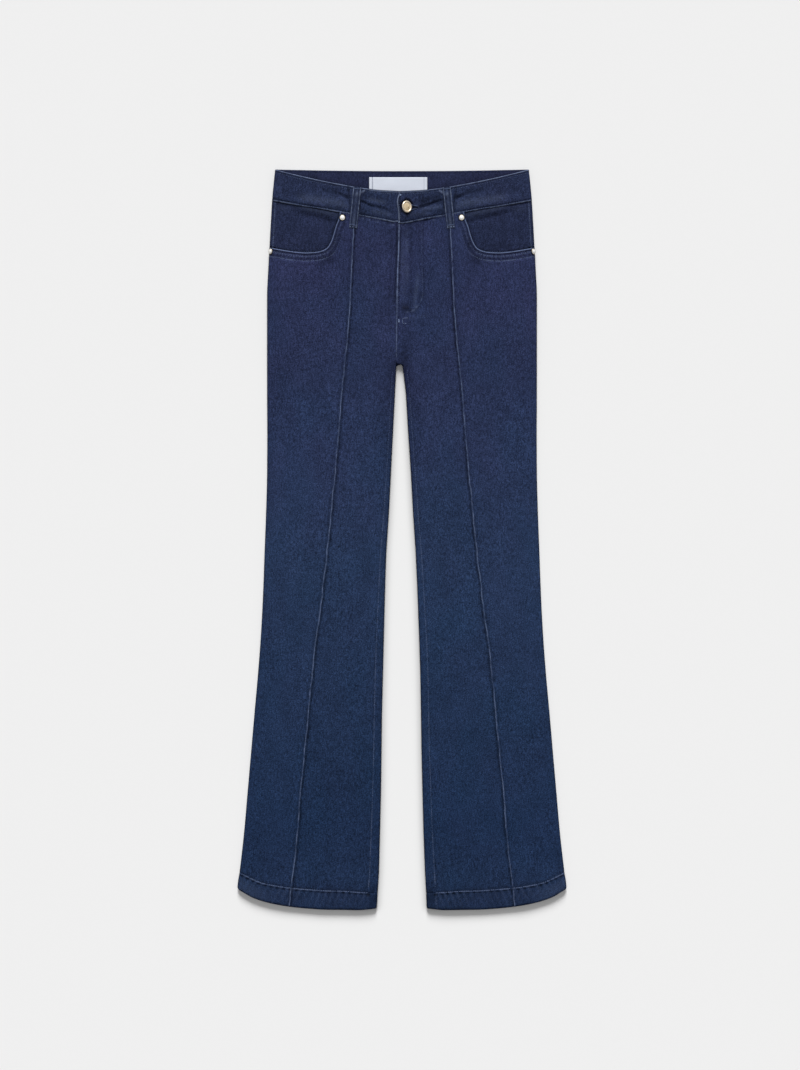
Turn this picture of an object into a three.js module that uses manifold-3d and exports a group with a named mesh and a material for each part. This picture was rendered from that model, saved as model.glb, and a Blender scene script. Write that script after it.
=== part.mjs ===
// Flared jeans, laid flat on their back, front upwards.
//
// The garment lies in the XY plane: +X is the wearer's left, +Y runs up to the waist, +Z is up out of the
// table. Its back layer rests on z = 0 and its front layer lies over it, with a few millimetres of air between.
// Each piece is one closed wall of denim. Rows run up the garment, columns run across it, and each row and column
// has a point on the outer face and one on the inner face. Pieces that are sewn together stand SEAM apart.
// Lengths are in millimetres. Distances `d` are measured out from the garment's middle line, on either leg.
import * as THREE from "three";
import { mergeVertices } from "three/addons/utils/BufferGeometryUtils.js";
import Module from "manifold-3d";

const wasm = await Module();
wasm.setup();

// ---------------------------------------------------------------- driving sizes
const CLOTH = 1.2; // one ply of denim
const BAND = 2.0; // waistband, two plies
const HEM = 2.4; // turned-up hem, two plies
const SEAM = 0.3; // gap between two pieces that are sewn together
const SIDE_SEAM = 0.4; // gap where front and back meet along the folded edges
const BAND_HEIGHT = 43;
const OVERLAP = 30; // X of the end of the waistband's button tab, under its buttonhole end
const TAB_DROP = 0.9; // the tab lies this much lower than the rest of the band
const LOOP_WIDTH = 12.2;
const LOOP_THICK = 1.3;
const REST_LIFT = 1.5; // the seat stands on its patch pockets and belt loops
const FLY_SEAM = -6.6; // X of the centre front seam: the left front laps the right
const FLY_WIDTH = 40;
const FLY_END_Y = 318;
const CROTCH_Y = 257;
const BUTTON = { x: 7.2, y: 484.6, radius: 8.6, thick: 2.2, shank: 3, tilt: 37 };
const RIVET = { radius: 4, height: 1.4, lean: 45 };
const LABEL = { x0: -48.2, x1: 37.2, top: 529.4, height: 28, thick: 1.0 };

// The outline of one leg, and of the hip above it. outer: side seam. pin: the raised seam down the front.
// inR, inL: centre front seam, then the inside leg, of the wearer's right and left leg.
const OUTLINE = [
  { y: -541.0, outer: 240.4, pin: 165.4, inR: 37.3, inL: 36.6 },
  { y: -509.4, outer: 240.2, pin: 162.0, inR: 35.2, inL: 35.0 },
  { y: -485.3, outer: 237.3, pin: 158.9, inR: 33.6, inL: 33.6 },
  { y: -426.9, outer: 230.7, pin: 152.9, inR: 32.1, inL: 31.4 },
  { y: -368.5, outer: 225.6, pin: 147.9, inR: 30.7, inL: 29.9 },
  { y: -310.1, outer: 220.5, pin: 142.1, inR: 29.9, inL: 28.5 },
  { y: -251.7, outer: 215.4, pin: 136.7, inR: 29.2, inL: 27.7 },
  { y: -193.3, outer: 210.2, pin: 131.0, inR: 27.7, inL: 26.7 },
  { y: -134.9, outer: 205.9, pin: 123.7, inR: 26.3, inL: 24.8 },
  { y: -76.5, outer: 202.9, pin: 116.4, inR: 24.8, inL: 22.6 },
  { y: -18.1, outer: 200.8, pin: 109.1, inR: 23.0, inL: 20.0 },
  { y: 40.3, outer: 198.6, pin: 103.2, inR: 19.0, inL: 16.1 },
  { y: 98.7, outer: 197.1, pin: 97.7, inR: 16.1, inL: 12.9 },
  { y: 157.1, outer: 196.8, pin: 92.7, inR: 13.1, inL: 9.0 },
  { y: 215.5, outer: 197.1, pin: 88.1, inR: 10.2, inL: 5.6 },
  { y: 244.7, outer: 197.1, pin: 84.8, inR: 8.6, inL: 2.0 },
  { y: 254.0, outer: 197.1, pin: 83.8, inR: 8.4, inL: 0.6 },
  { y: 255.8, outer: 197.1, pin: 83.6, inR: 8.4, inL: -1.6 },
  { y: 257.0, outer: 197.1, pin: 83.4, inR: 8.4, inL: -8.1 },
  { y: 270.0, outer: 197.1, pin: 82.0, inR: 6.75, inL: -6.45 },
  { y: 303.1, outer: 197.1, pin: 79.1, inR: 6.75, inL: -6.45 },
  { y: 355.7, outer: 197.1, pin: 75.5, inR: 6.75, inL: -6.45 },
  { y: 390.7, outer: 195.6, pin: 73.6, inR: 6.75, inL: -6.45 },
  { y: 425.7, outer: 193.6, pin: 72.0, inR: 6.75, inL: -6.45 },
  { y: 460.8, outer: 191.7, pin: 70.8, inR: 6.75, inL: -6.45 },
  { y: 497.3, outer: 189.6, pin: 70.0, inR: 6.75, inL: -6.45 },
  { y: 541.1, outer: 185.4, pin: 69.0, inR: 6.75, inL: -6.45 },
];

// Heights above the table. under: underside of the back layer. seam: where front and back meet at the edges.
// top: outer face of the front layer. round: how far in from the edge the front layer curves down.
// curl: how much of that curve the inside leg has, from none above the crotch to all of it below.
const LIE = [
  { y: -541.1, under: 0, seam: 3.0, top: 6.4, round: 7, curl: 1 },
  { y: -500, under: 0, seam: 3.0, top: 6.3, round: 7, curl: 1 },
  { y: -470, under: 0, seam: 2.6, top: 5.7, round: 8, curl: 1 },
  { y: 100, under: 0, seam: 2.5, top: 5.6, round: 8, curl: 1 },
  { y: 205, under: 0, seam: 2.5, top: 6.0, round: 8, curl: 1 },
  { y: 244, under: 0.7, seam: 2.8, top: 6.8, round: 7, curl: 1 },
  { y: 262, under: 1.1, seam: 3.0, top: 7.2, round: 6.5, curl: 0 },
  { y: 290, under: REST_LIFT, seam: 3.2, top: 7.6, round: 6, curl: 0 },
  { y: 541.1, under: REST_LIFT, seam: 3.2, top: 7.8, round: 5, curl: 0 },
];

// The bottom edge of a leg, and the line of stitches that holds its hem up.
const HEM_EDGE = [
  { d: 35, edge: -538.4, stitched: -516.4 },
  { d: 65, edge: -541.1, stitched: -515.0 },
  { d: 85, edge: -540.8, stitched: -513.5 },
  { d: 110, edge: -540.5, stitched: -512.9 },
  { d: 133, edge: -539.2, stitched: -511.4 },
  { d: 160, edge: -536.6, stitched: -509.2 },
  { d: 187, edge: -532.2, stitched: -505.3 },
  { d: 205, edge: -527.6, stitched: -501.4 },
  { d: 220, edge: -522.0, stitched: -495.1 },
  { d: 231, edge: -515.6, stitched: -489.6 },
  { d: 241, edge: -509.0, stitched: -484.6 },
];

// The scooped edge of a front pocket, from the waistband down and out to the side seam.
const SCOOP = [
  { d: 90.6, y: 476.5 },
  { d: 92.6, y: 467.5 },
  { d: 96.7, y: 457.0 },
  { d: 100.0, y: 445.3 },
  { d: 104.2, y: 433.7 },
  { d: 110.1, y: 425.2 },
  { d: 118.6, y: 421.1 },
  { d: 126.9, y: 419.6 },
  { d: 140.3, y: 418.9 },
  { d: 157.1, y: 420.2 },
  { d: 173.7, y: 422.7 },
  { d: 194.5, y: 426.4 },
];

// The half outline of a back patch pocket, corner by corner.
const PATCH = [
  { d: 34, y: 421 },
  { d: 42, y: 314 },
  { d: 92, y: 296 },
  { d: 141, y: 322 },
  { d: 150, y: 434 },
];

// ---------------------------------------------------------------- curves
// A column of a table at a value of another column, in straight steps.
function along(table, key, by, value) {
  if (value <= table[0][by]) return table[0][key];
  for (let n = 1; n < table.length; n++) {
    const a = table[n - 1];
    const b = table[n];
    if (value <= b[by]) return a[key] + ((b[key] - a[key]) * (value - a[by])) / (b[by] - a[by]);
  }
  return table[table.length - 1][key];
}
const outline = (key, y) => along(OUTLINE, key, "y", y);
const lie = (key, y) => along(LIE, key, "y", y);
const mix = (a, b, s) => a + (b - a) * s;

// The front waistband dips towards the fly. The back one runs almost straight across.
const bandTop = (d) => 507.5 + 32.6 * Math.pow(Math.abs(d) / 185.4, 1.5);
const bandSeam = (d) => 463.8 + 33.4 * Math.pow(Math.abs(d) / 189.6, 1.05);
const backTop = (d) => 538.5 + 2.4 * Math.pow(d / 185.4, 2);
const backSeam = (d) => backTop(d) - BAND_HEIGHT;
const yokeSeam = (d) => 431 + 34 * (Math.abs(d) / 190);
const backCentre = (y) => (y > 300 ? 0 : mix(0, -4, Math.min(1, (300 - y) / (300 - CROTCH_Y))));
const scoop = (d) => along(SCOOP, "y", "d", d);
const hemEdge = (d) => along(HEM_EDGE, "edge", "d", d);
const hemStitched = (d) => along(HEM_EDGE, "stitched", "d", d);

// ---------------------------------------------------------------- walls
const steps = (n, from = 0, to = 1) => Array.from({ length: n + 1 }, (_, k) => mix(from, to, k / n));

// A closed solid from rows of points, each { outer, inner } as Vector3.
function wall(rows) {
  const R = rows.length;
  const C = rows[0].length;
  const position = [];
  for (const side of ["outer", "inner"]) for (const row of rows) for (const p of row) position.push(...p[side].toArray());
  const at = (side, r, c) => side * R * C + r * C + c;
  const index = [];
  const quad = (a, b, c, d) => index.push(a, b, c, a, c, d);
  for (let r = 0; r + 1 < R; r++)
    for (let c = 0; c + 1 < C; c++) {
      quad(at(0, r, c), at(0, r, c + 1), at(0, r + 1, c + 1), at(0, r + 1, c));
      quad(at(1, r, c), at(1, r + 1, c), at(1, r + 1, c + 1), at(1, r, c + 1));
    }
  for (let c = 0; c + 1 < C; c++) {
    quad(at(0, 0, c), at(1, 0, c), at(1, 0, c + 1), at(0, 0, c + 1));
    quad(at(0, R - 1, c), at(0, R - 1, c + 1), at(1, R - 1, c + 1), at(1, R - 1, c));
  }
  for (let r = 0; r + 1 < R; r++) {
    quad(at(0, r, 0), at(0, r + 1, 0), at(1, r + 1, 0), at(1, r, 0));
    quad(at(0, r, C - 1), at(1, r, C - 1), at(1, r + 1, C - 1), at(0, r + 1, C - 1));
  }
  const p = (n) => new THREE.Vector3().fromArray(position, 3 * n);
  let volume = 0;
  for (let n = 0; n < index.length; n += 3) volume += p(index[n]).dot(p(index[n + 1]).cross(p(index[n + 2])));
  if (volume < 0) index.reverse();
  return new THREE.BufferGeometry()
    .setAttribute("position", new THREE.Float32BufferAttribute(position, 3))
    .setIndex(index);
}

// The curve of a layer's wall at an edge. turn runs from 0 at the edge to 1 where the layer lies flat, `round` in.
// Gives how far in from the edge, and how high, the outer and the inner face are. curl 0 leaves the edge flat.
function edgeCurve(turn, round, edgeZ, flatZ, thick, curl = 1) {
  const a = (turn * Math.PI) / 2;
  const up = Math.sign(flatZ - edgeZ);
  const inside = flatZ - up * thick;
  return {
    outer: { in: mix(round * turn, round * (1 - Math.cos(a)), curl), z: mix(flatZ, mix(edgeZ, flatZ, Math.sin(a)), curl) },
    inner: { in: mix(round * turn, round - (round - thick) * Math.cos(a), curl), z: mix(inside, mix(edgeZ, inside, Math.sin(a)), curl) },
  };
}

const EDGE_TURNS = [0, 0.22, 0.5, 0.78, 1];

// A panel of the front or back layer.
//   side: 1 or -1, the leg. left, right: (row) => { d, y } on its two long edges, from hem to waist.
//   rows: the row numbers, 0 at the hem. bottom, top: y at d along its two short edges.
//   across: column positions from 0 to 1 between the flat part's edges.
//   curlLeft, curlRight: whether that long edge is a folded edge of the garment.
//   face: (y) => heights at that y. thick: (d, y) => the wall. fade: how far up a short edge's shape carries.
function panel({ side, rows, left, right, bottom, top, across, curlLeft, curlRight, face, thick, fadeBottom = 70, fadeTop = 130 }) {
  const first = { l: left(rows[0]), r: right(rows[0]) };
  const last = { l: left(rows[rows.length - 1]), r: right(rows[rows.length - 1]) };
  const bulge = (edge, ends, u) => edge(mix(ends.l.d, ends.r.d, u)) - mix(ends.l.y, ends.r.y, u);
  return wall(
    rows.map((row) => {
      const l = left(row);
      const r = right(row);
      const width = r.d - l.d;
      const place = (u, z) => {
        const y0 = mix(l.y, r.y, u);
        const low = Math.max(0, 1 - (y0 - mix(first.l.y, first.r.y, u)) / fadeBottom);
        const high = Math.max(0, 1 - (mix(last.l.y, last.r.y, u) - y0) / fadeTop);
        const y = y0 + (low > 0 ? low * bulge(bottom, first, u) : 0) + (high > 0 ? high * bulge(top, last, u) : 0);
        return new THREE.Vector3(side * mix(l.d, r.d, u), y, z);
      };
      const points = [];
      const f = (u) => face(mix(l.y, r.y, u));
      const t = (u) => thick(mix(l.d, r.d, u), mix(l.y, r.y, u));
      if (curlLeft)
        for (const turn of EDGE_TURNS.slice(0, -1)) {
          const h = f(0);
          const e = edgeCurve(turn, h.round, h.edge, h.flat, t(0), curlLeft(l.y));
          points.push({ outer: place(e.outer.in / width, e.outer.z), inner: place(e.inner.in / width, e.inner.z) });
        }
      const from = curlLeft ? f(0).round / width : 0;
      const to = curlRight ? 1 - f(1).round / width : 1;
      for (const a of across) {
        const u = mix(from, to, a);
        const h = f(u);
        points.push({ outer: place(u, h.flat), inner: place(u, h.flat - h.up * t(u)) });
      }
      if (curlRight)
        for (const turn of EDGE_TURNS.slice(0, -1).reverse()) {
          const h = f(1);
          const e = edgeCurve(turn, h.round, h.edge, h.flat, t(1), curlRight(r.y));
          points.push({ outer: place(1 - e.outer.in / width, e.outer.z), inner: place(1 - e.inner.in / width, e.inner.z) });
        }
      return points;
    }),
  );
}

const frontFace = (drop = 0) => (y) => ({
  up: 1,
  flat: lie("top", y) - drop,
  edge: lie("seam", y) + SIDE_SEAM / 2,
  round: lie("round", y),
});
const backFace = (y) => ({ up: -1, flat: lie("under", y), edge: lie("seam", y) - SIDE_SEAM / 2, round: lie("round", y) * 0.6 });
const always = () => 1;
const curl = (y) => lie("curl", y);
const legThick = (d, y) => (y < hemStitched(d) ? HEM : CLOTH);

// Rows up a leg, each with its height at the inside and at the outside, so that they lean with the hem and the waist.
const LEG_ROWS = [
  { inside: -538.4, outside: -509.0 },
  { inside: -516.6, outside: -484.9 },
  { inside: -515.8, outside: -484.1 },
  { inside: -470, outside: -455 },
  { inside: -368.5, outside: -368.5 },
  { inside: -251.7, outside: -251.7 },
  { inside: -134.9, outside: -134.9 },
  { inside: -18.1, outside: -18.1 },
  { inside: 98.7, outside: 98.7 },
  { inside: 170, outside: 170 },
  { inside: 215.5, outside: 215.5 },
  { inside: 244.7, outside: 244.7 },
  { inside: 254, outside: 253.5 },
  { inside: 255.8, outside: 257.5 },
  { inside: 257, outside: 262 },
  { inside: 270, outside: 275 },
];
const lean = (row, d) => mix(row.inside, row.outside, Math.min(1, Math.max(0, (d - 30) / 200)));
const legRow = (row, edgeOf) => {
  const guess = lean(row, edgeOf(row.inside));
  const y = lean(row, edgeOf(guess));
  return { d: edgeOf(y), y };
};

// Long edges of the panels, as functions of a row number.
const UPPER_ROWS = 4;
const ROWS = LEG_ROWS.length + UPPER_ROWS;
const rowsAll = steps(ROWS - 1, 0, ROWS - 1).map(Math.round);
function edgeRows(edgeOf, topY) {
  const start = legRow(LEG_ROWS[LEG_ROWS.length - 1], edgeOf).y;
  return (row) => {
    if (row < LEG_ROWS.length) return legRow(LEG_ROWS[row], edgeOf);
    const y = mix(start, topY, (row - LEG_ROWS.length + 1) / UPPER_ROWS);
    return { d: edgeOf(y), y };
  };
}
const pinAt = (gap) => (y) => outline("pin", y) + gap;
const outerAt = (y) => outline("outer", y);
const key = (side) => (side > 0 ? "inL" : "inR");

// ---------------------------------------------------------------- front panels
function frontInner(side) {
  const centre = (y) => outline(key(side), y);
  const topD = { l: centre(470), r: outline("pin", 470) - SEAM / 2 };
  return panel({
    side,
    rows: rowsAll,
    left: edgeRows(centre, bandSeam(topD.l) - SEAM),
    right: edgeRows(pinAt(-SEAM / 2), bandSeam(topD.r) - SEAM),
    bottom: hemEdge,
    top: (d) => bandSeam(d) - SEAM,
    across: [0, 0.09, 0.32, 0.66, 1],
    curlLeft: curl,
    face: frontFace(),
    thick: legThick,
  });
}

// The outer front ends at the scooped pocket, so its top edge follows the waistband and then the scoop.
function frontOuter(side) {
  const pin = pinAt(SEAM / 2);
  const topD = pin(472);
  const corner = SCOOP[0].d;
  const edge = (d) => (d < corner ? bandSeam(d) - SEAM : Math.min(bandSeam(d) - SEAM, scoop(d)));
  const right = edgeRows(outerAt, scoop(193.6));
  const width = 193.6 - 5 - topD;
  return panel({
    side,
    rows: rowsAll,
    left: edgeRows(pin, bandSeam(topD) - SEAM),
    right,
    bottom: hemEdge,
    top: edge,
    across: [0, ...SCOOP.slice(0, -2).map((p) => (p.d - topD) / width), 1],
    curlRight: always,
    face: frontFace(),
    thick: legThick,
    fadeTop: 110,
  });
}

// The denim that shows inside the pocket's scoop. It runs on under the outer front.
function facing(side) {
  const under = 12;
  const inner = SCOOP[0].d - under;
  const scoopSide = scoop(193.6);
  const rows = [
    { y: scoopSide - under, inset: 11 },
    { y: scoopSide + 0.2, inset: 11 },
    { y: scoopSide + 4, inset: 0 },
    { y: 455, inset: 0 },
    { y: 496, inset: 0 },
  ];
  const lowest = SCOOP.map((p) => p.y).reduce((a, b) => Math.min(a, b)) - under;
  return panel({
    side,
    rows: steps(4).map((s) => Math.round(s * 4)),
    left: (n) => ({ d: inner, y: mix(lowest + 24, bandSeam(inner) - SEAM, n / 4) }),
    right: (n) => ({
      d: outerAt(rows[n].y) - rows[n].inset,
      y: n === 4 ? bandSeam(outerAt(495)) - SEAM : rows[n].y,
    }),
    bottom: (d) => Math.max(Math.min(scoop(d), scoop(d + under), scoop(d - under)) - under, lowest),
    top: (d) => bandSeam(d) - SEAM,
    across: [0, 0.15, 0.3, 0.45, 0.7, 1],
    curlRight: (y) => (y > scoopSide + 1 ? 1 : 0),
    face: frontFace(CLOTH + SEAM),
    thick: () => CLOTH,
    fadeBottom: 40,
    fadeTop: 60,
  });
}

// The fly's facing, a strip with a rounded foot, under the left front.
function flyFacing() {
  const rows = [0, 0.12, 0.3, 0.55, 1];
  const reach = [14, 32, FLY_WIDTH, FLY_WIDTH, FLY_WIDTH];
  return wall(
    rows.map((s, n) => {
      return steps(3).map((a) => {
        const d = mix(FLY_SEAM + 0.4, FLY_SEAM + reach[n], a);
        const y = mix(FLY_END_Y, bandSeam(d) - SEAM, s);
        const z = lie("top", y) - CLOTH - SEAM;
        return { outer: new THREE.Vector3(d, y, z), inner: new THREE.Vector3(d, y, z - CLOTH) };
      });
    }),
  );
}

// ---------------------------------------------------------------- waistband
const BAND_TOP_Z = 8.4;
const ease = (from, to, v) => {
  const s = Math.min(1, Math.max(0, (v - from) / (to - from)));
  return s * s * (3 - 2 * s);
};
// Each end of the front waistband, as functions of X: how far its face lies from BAND_TOP_Z, and how far in from
// the band's two long edges it stops. The right end goes down and narrows into the tab. The left end rides over it.
const BAND_END = {
  [-1]: {
    columns: [-OVERLAP, -20, -9, -1, 4, 7.4, 13, 20, 45, 75, 105, 130, 155],
    rise: (x) => -TAB_DROP * ease(-13, -7.4, x),
    top: (x) => 0.8 * ease(-2, 8, x),
    bottom: (x) => 1.6 * ease(-12, -8, x),
  },
  [1]: {
    columns: [FLY_SEAM, -5.2, -2.2, 3, 20, OVERLAP + 3, 38, 46, 54, 68, 95, 125, 155],
    rise: (x) => (BAND + SEAM - TAB_DROP) * (1 - ease(OVERLAP + 3, 54, x)),
    top: (x) => 4.6 * Math.pow(Math.max(0, (-1.2 - x) / 5.4), 2),
    bottom: () => 0,
  },
};
function frontBand(side) {
  const end = BAND_END[side];
  const edge = { z: lie("seam", 520) + SIDE_SEAM / 2, round: 5 };
  return wall(
    [0, 0.33, 0.67, 1].map((s) => {
      const points = end.columns.map((d) => {
        const x = side * d;
        const y = mix(bandSeam(d) + end.bottom(x), bandTop(d) - end.top(x), s);
        const z = BAND_TOP_Z + end.rise(x);
        return { outer: new THREE.Vector3(x, y, z), inner: new THREE.Vector3(x, y, z - BAND) };
      });
      for (const turn of [...EDGE_TURNS].reverse()) {
        const e = edgeCurve(turn, edge.round, edge.z, BAND_TOP_Z, BAND);
        const put = (q) => {
          const d = outerAt(mix(bandSeam(189.6), bandTop(185.4), s)) - q.in;
          return new THREE.Vector3(side * d, mix(bandSeam(d), bandTop(d), s), q.z);
        };
        points.push({ outer: put(e.outer), inner: put(e.inner) });
      }
      return points;
    }),
  );
}

function backBand() {
  const h = { edge: lie("seam", 520) - SIDE_SEAM / 2, round: 5, flat: REST_LIFT };
  const inner = h.flat + 1.6; // thinned where it turns up at the side
  return wall(
    [0, 0.5, 1].map((s) => {
      const half = [];
      for (const d of [0, 45, 90, 135, 165]) {
        const y = mix(backSeam(d), backTop(d), s);
        half.push({ d, y, zo: h.flat, zi: h.flat + BAND });
      }
      const edgeY = mix(backSeam(189.6), backTop(185.4), s);
      const edge = outerAt(edgeY);
      const ends = [
        { in: 9, out: h.flat, inn: h.flat + BAND },
        { in: 5, out: h.flat, inn: inner + 0.2 },
        { in: 2, out: h.flat + 0.35, inn: h.edge },
        { in: 0, out: h.edge - 0.5, inn: h.edge },
      ];
      for (const e of ends) {
        const d = edge - e.in;
        half.push({ d, y: mix(backSeam(d), backTop(d), s), zo: e.out, zi: e.inn });
      }
      const whole = [...half.slice(1).reverse().map((p) => ({ ...p, d: -p.d })), ...half];
      return whole.map((p) => ({ outer: new THREE.Vector3(p.d, p.y, p.zo), inner: new THREE.Vector3(p.d, p.y, p.zi) }));
    }),
  );
}

// ---------------------------------------------------------------- back panels
const backRowsTop = (d) => yokeSeam(d) - SEAM / 2;
function back(side) {
  const centre = (y) => {
    if (y < 244.7) return outline(key(side), y);
    if (y > CROTCH_Y) return -side * -backCentre(y) + SEAM / 2;
    const from = outline(key(side), 244.7);
    const to = side * backCentre(CROTCH_Y) + SEAM / 2;
    return mix(from, to, Math.pow((y - 244.7) / (CROTCH_Y - 244.7), 3));
  };
  return panel({
    side,
    rows: rowsAll,
    left: edgeRows(centre, backRowsTop(0)),
    right: edgeRows(outerAt, backRowsTop(191)),
    bottom: hemEdge,
    top: backRowsTop,
    across: steps(4),
    curlLeft: curl,
    curlRight: always,
    face: backFace,
    thick: legThick,
  });
}

function yoke(side) {
  const rows = 3;
  return panel({
    side,
    rows: steps(rows).map((s) => Math.round(s * rows)),
    left: (n) => ({ d: SEAM / 2, y: mix(yokeSeam(0) + SEAM / 2, backSeam(0) - SEAM, n / rows) }),
    right: (n) => {
      const y = mix(yokeSeam(191) + SEAM / 2, backSeam(189.6) - SEAM, n / rows);
      return { d: outerAt(y), y };
    },
    bottom: (d) => yokeSeam(d) + SEAM / 2,
    top: (d) => backSeam(d) - SEAM,
    across: steps(4),
    curlRight: always,
    face: backFace,
    thick: () => CLOTH,
    fadeBottom: 30,
    fadeTop: 30,
  });
}

function flatPlate(corners, z, thick) {
  const shape = new THREE.Shape(corners.map((c) => new THREE.Vector2(c.x, c.y)));
  return new THREE.ExtrudeGeometry(shape, { depth: thick, bevelEnabled: false, steps: 1 }).translate(0, 0, z);
}
const patchPocket = (side) =>
  flatPlate(
    PATCH.map((p) => ({ x: side * p.d, y: p.y })),
    0,
    CLOTH,
  );

// ---------------------------------------------------------------- belt loops
// A front loop leans with the waistband, bridges it and is sewn down at both ends.
function frontLoop(side) {
  const foot = { d: 71.4, y: 454.6 };
  const head = { d: 65.2, y: bandTop(65.2) - 0.4 };
  const length = Math.hypot(head.d - foot.d, head.y - foot.y);
  const dir = { d: (head.d - foot.d) / length, y: (head.y - foot.y) / length };
  const seamAt = (bandSeam(70) - foot.y) / (head.y - foot.y);
  const bulk = [
    { s: 0, lift: 0.3, on: "panel" },
    { s: 0.1, lift: 0.35, on: "panel" },
    { s: seamAt - 0.1, lift: 0.9, on: "panel" },
    { s: seamAt + 0.03, lift: 0.75, on: "band" },
    { s: 0.6, lift: 1.0, on: "band" },
    { s: 0.8, lift: 0.8, on: "band" },
    { s: 0.93, lift: 0.35, on: "band" },
    { s: 1, lift: 0.3, on: "band" },
  ];
  return wall(
    bulk.map((b) => {
      const y0 = mix(foot.y, head.y, b.s);
      const d0 = mix(foot.d, head.d, b.s);
      const base = (b.on === "band" ? BAND_TOP_Z : lie("top", y0)) + b.lift;
      return steps(1, -0.5, 0.5).map((w) => {
        const d = d0 + w * LOOP_WIDTH * dir.y;
        const y = y0 - w * LOOP_WIDTH * dir.d;
        return {
          outer: new THREE.Vector3(side * d, y, base + LOOP_THICK),
          inner: new THREE.Vector3(side * d, y, base),
        };
      });
    }),
  );
}
// A back loop lies flat under the waistband that it belongs to.
const backLoop = (x) =>
  flatPlate(
    [
      { x: x - LOOP_WIDTH / 2, y: 482 },
      { x: x + LOOP_WIDTH / 2, y: 482 },
      { x: x + LOOP_WIDTH / 2, y: 537.4 },
      { x: x - LOOP_WIDTH / 2, y: 537.4 },
    ],
    0,
    CLOTH,
  );

// ---------------------------------------------------------------- metal
const profile = (points) => points.map(([r, h]) => new THREE.Vector2(r, h));
// The button's head leans over on an upright shank, as a jeans button does when the band lies flat.
function buttonSolid() {
  const r = BUTTON.radius;
  const t = BUTTON.thick / 2;
  const tilt = THREE.MathUtils.degToRad(BUTTON.tilt);
  const foot = BAND_TOP_Z - TAB_DROP + SEAM;
  const clear = foot + BAND + SEAM; // the buttonhole end's face, and a little air
  const centre = clear + r * Math.sin(tilt) + t * Math.cos(tilt);
  const head = new THREE.LatheGeometry(
    profile([
      [0, -t],
      [r - 1.0, -t],
      [r, -t + 0.7],
      [r - 0.4, t - 0.4],
      [r - 1.3, t],
      [r - 2.3, t - 0.5],
      [0, t - 0.2],
    ]),
    24,
  )
    .rotateX(Math.PI / 2)
    .rotateY(tilt)
    .translate(BUTTON.x, BUTTON.y, centre);
  const shank = new THREE.CylinderGeometry(BUTTON.shank, BUTTON.shank, centre - foot, 16)
    .rotateX(Math.PI / 2)
    .translate(BUTTON.x, BUTTON.y, (foot + centre) / 2);
  return fromManifold(toManifold(head).add(toManifold(shank)));
}
function rivetSolid() {
  const r = RIVET.radius;
  return new THREE.LatheGeometry(
    profile([
      [0, 0],
      [r - 0.3, 0],
      [r, 0.35],
      [r * 0.82, 0.95],
      [r * 0.42, RIVET.height],
      [0, RIVET.height],
    ]),
    16,
  );
}

// ---------------------------------------------------------------- buttonhole
function toManifold(geometry) {
  const g = geometry.clone();
  g.deleteAttribute("normal");
  g.deleteAttribute("uv");
  const merged = mergeVertices(g, 1e-4);
  return new wasm.Manifold(
    new wasm.Mesh({
      numProp: 3,
      vertProperties: new Float32Array(merged.attributes.position.array),
      triVerts: new Uint32Array(merged.index.array),
    }),
  );
}
function fromManifold(solid) {
  const m = solid.getMesh();
  return new THREE.BufferGeometry()
    .setAttribute("position", new THREE.BufferAttribute(new Float32Array(m.vertProperties), 3))
    .setIndex(new THREE.BufferAttribute(new Uint32Array(m.triVerts), 1));
}
function buttonhole() {
  const half = BUTTON.shank + 0.8;
  const shape = new THREE.Shape();
  shape.absarc(BUTTON.x, BUTTON.y, half, Math.PI / 2, (3 * Math.PI) / 2, false);
  shape.lineTo(BUTTON.x + 15.5, BUTTON.y - 0.8);
  shape.lineTo(BUTTON.x + 15.5, BUTTON.y + 0.8);
  return new THREE.ExtrudeGeometry(shape, { depth: 10, bevelEnabled: false, curveSegments: 10 }).translate(0, 0, 5);
}

// ---------------------------------------------------------------- the garment
const denim = (colour) => new THREE.MeshStandardMaterial({ color: colour, roughness: 0.9, metalness: 0 });
const DENIM = denim(0x2a3350);
const DENIM_DARK = denim(0x252c47);
const GOLD = new THREE.MeshStandardMaterial({ color: 0xc9a878, roughness: 0.3, metalness: 1 });
const WOVEN = new THREE.MeshStandardMaterial({ color: 0xd6dae6, roughness: 0.8, metalness: 0 });

const jeans = new THREE.Group();
jeans.name = "flared_jeans";
function add(name, geometry, material, place = () => {}) {
  const mesh = new THREE.Mesh(geometry, material);
  mesh.name = name;
  place(mesh);
  jeans.add(mesh);
}

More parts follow.
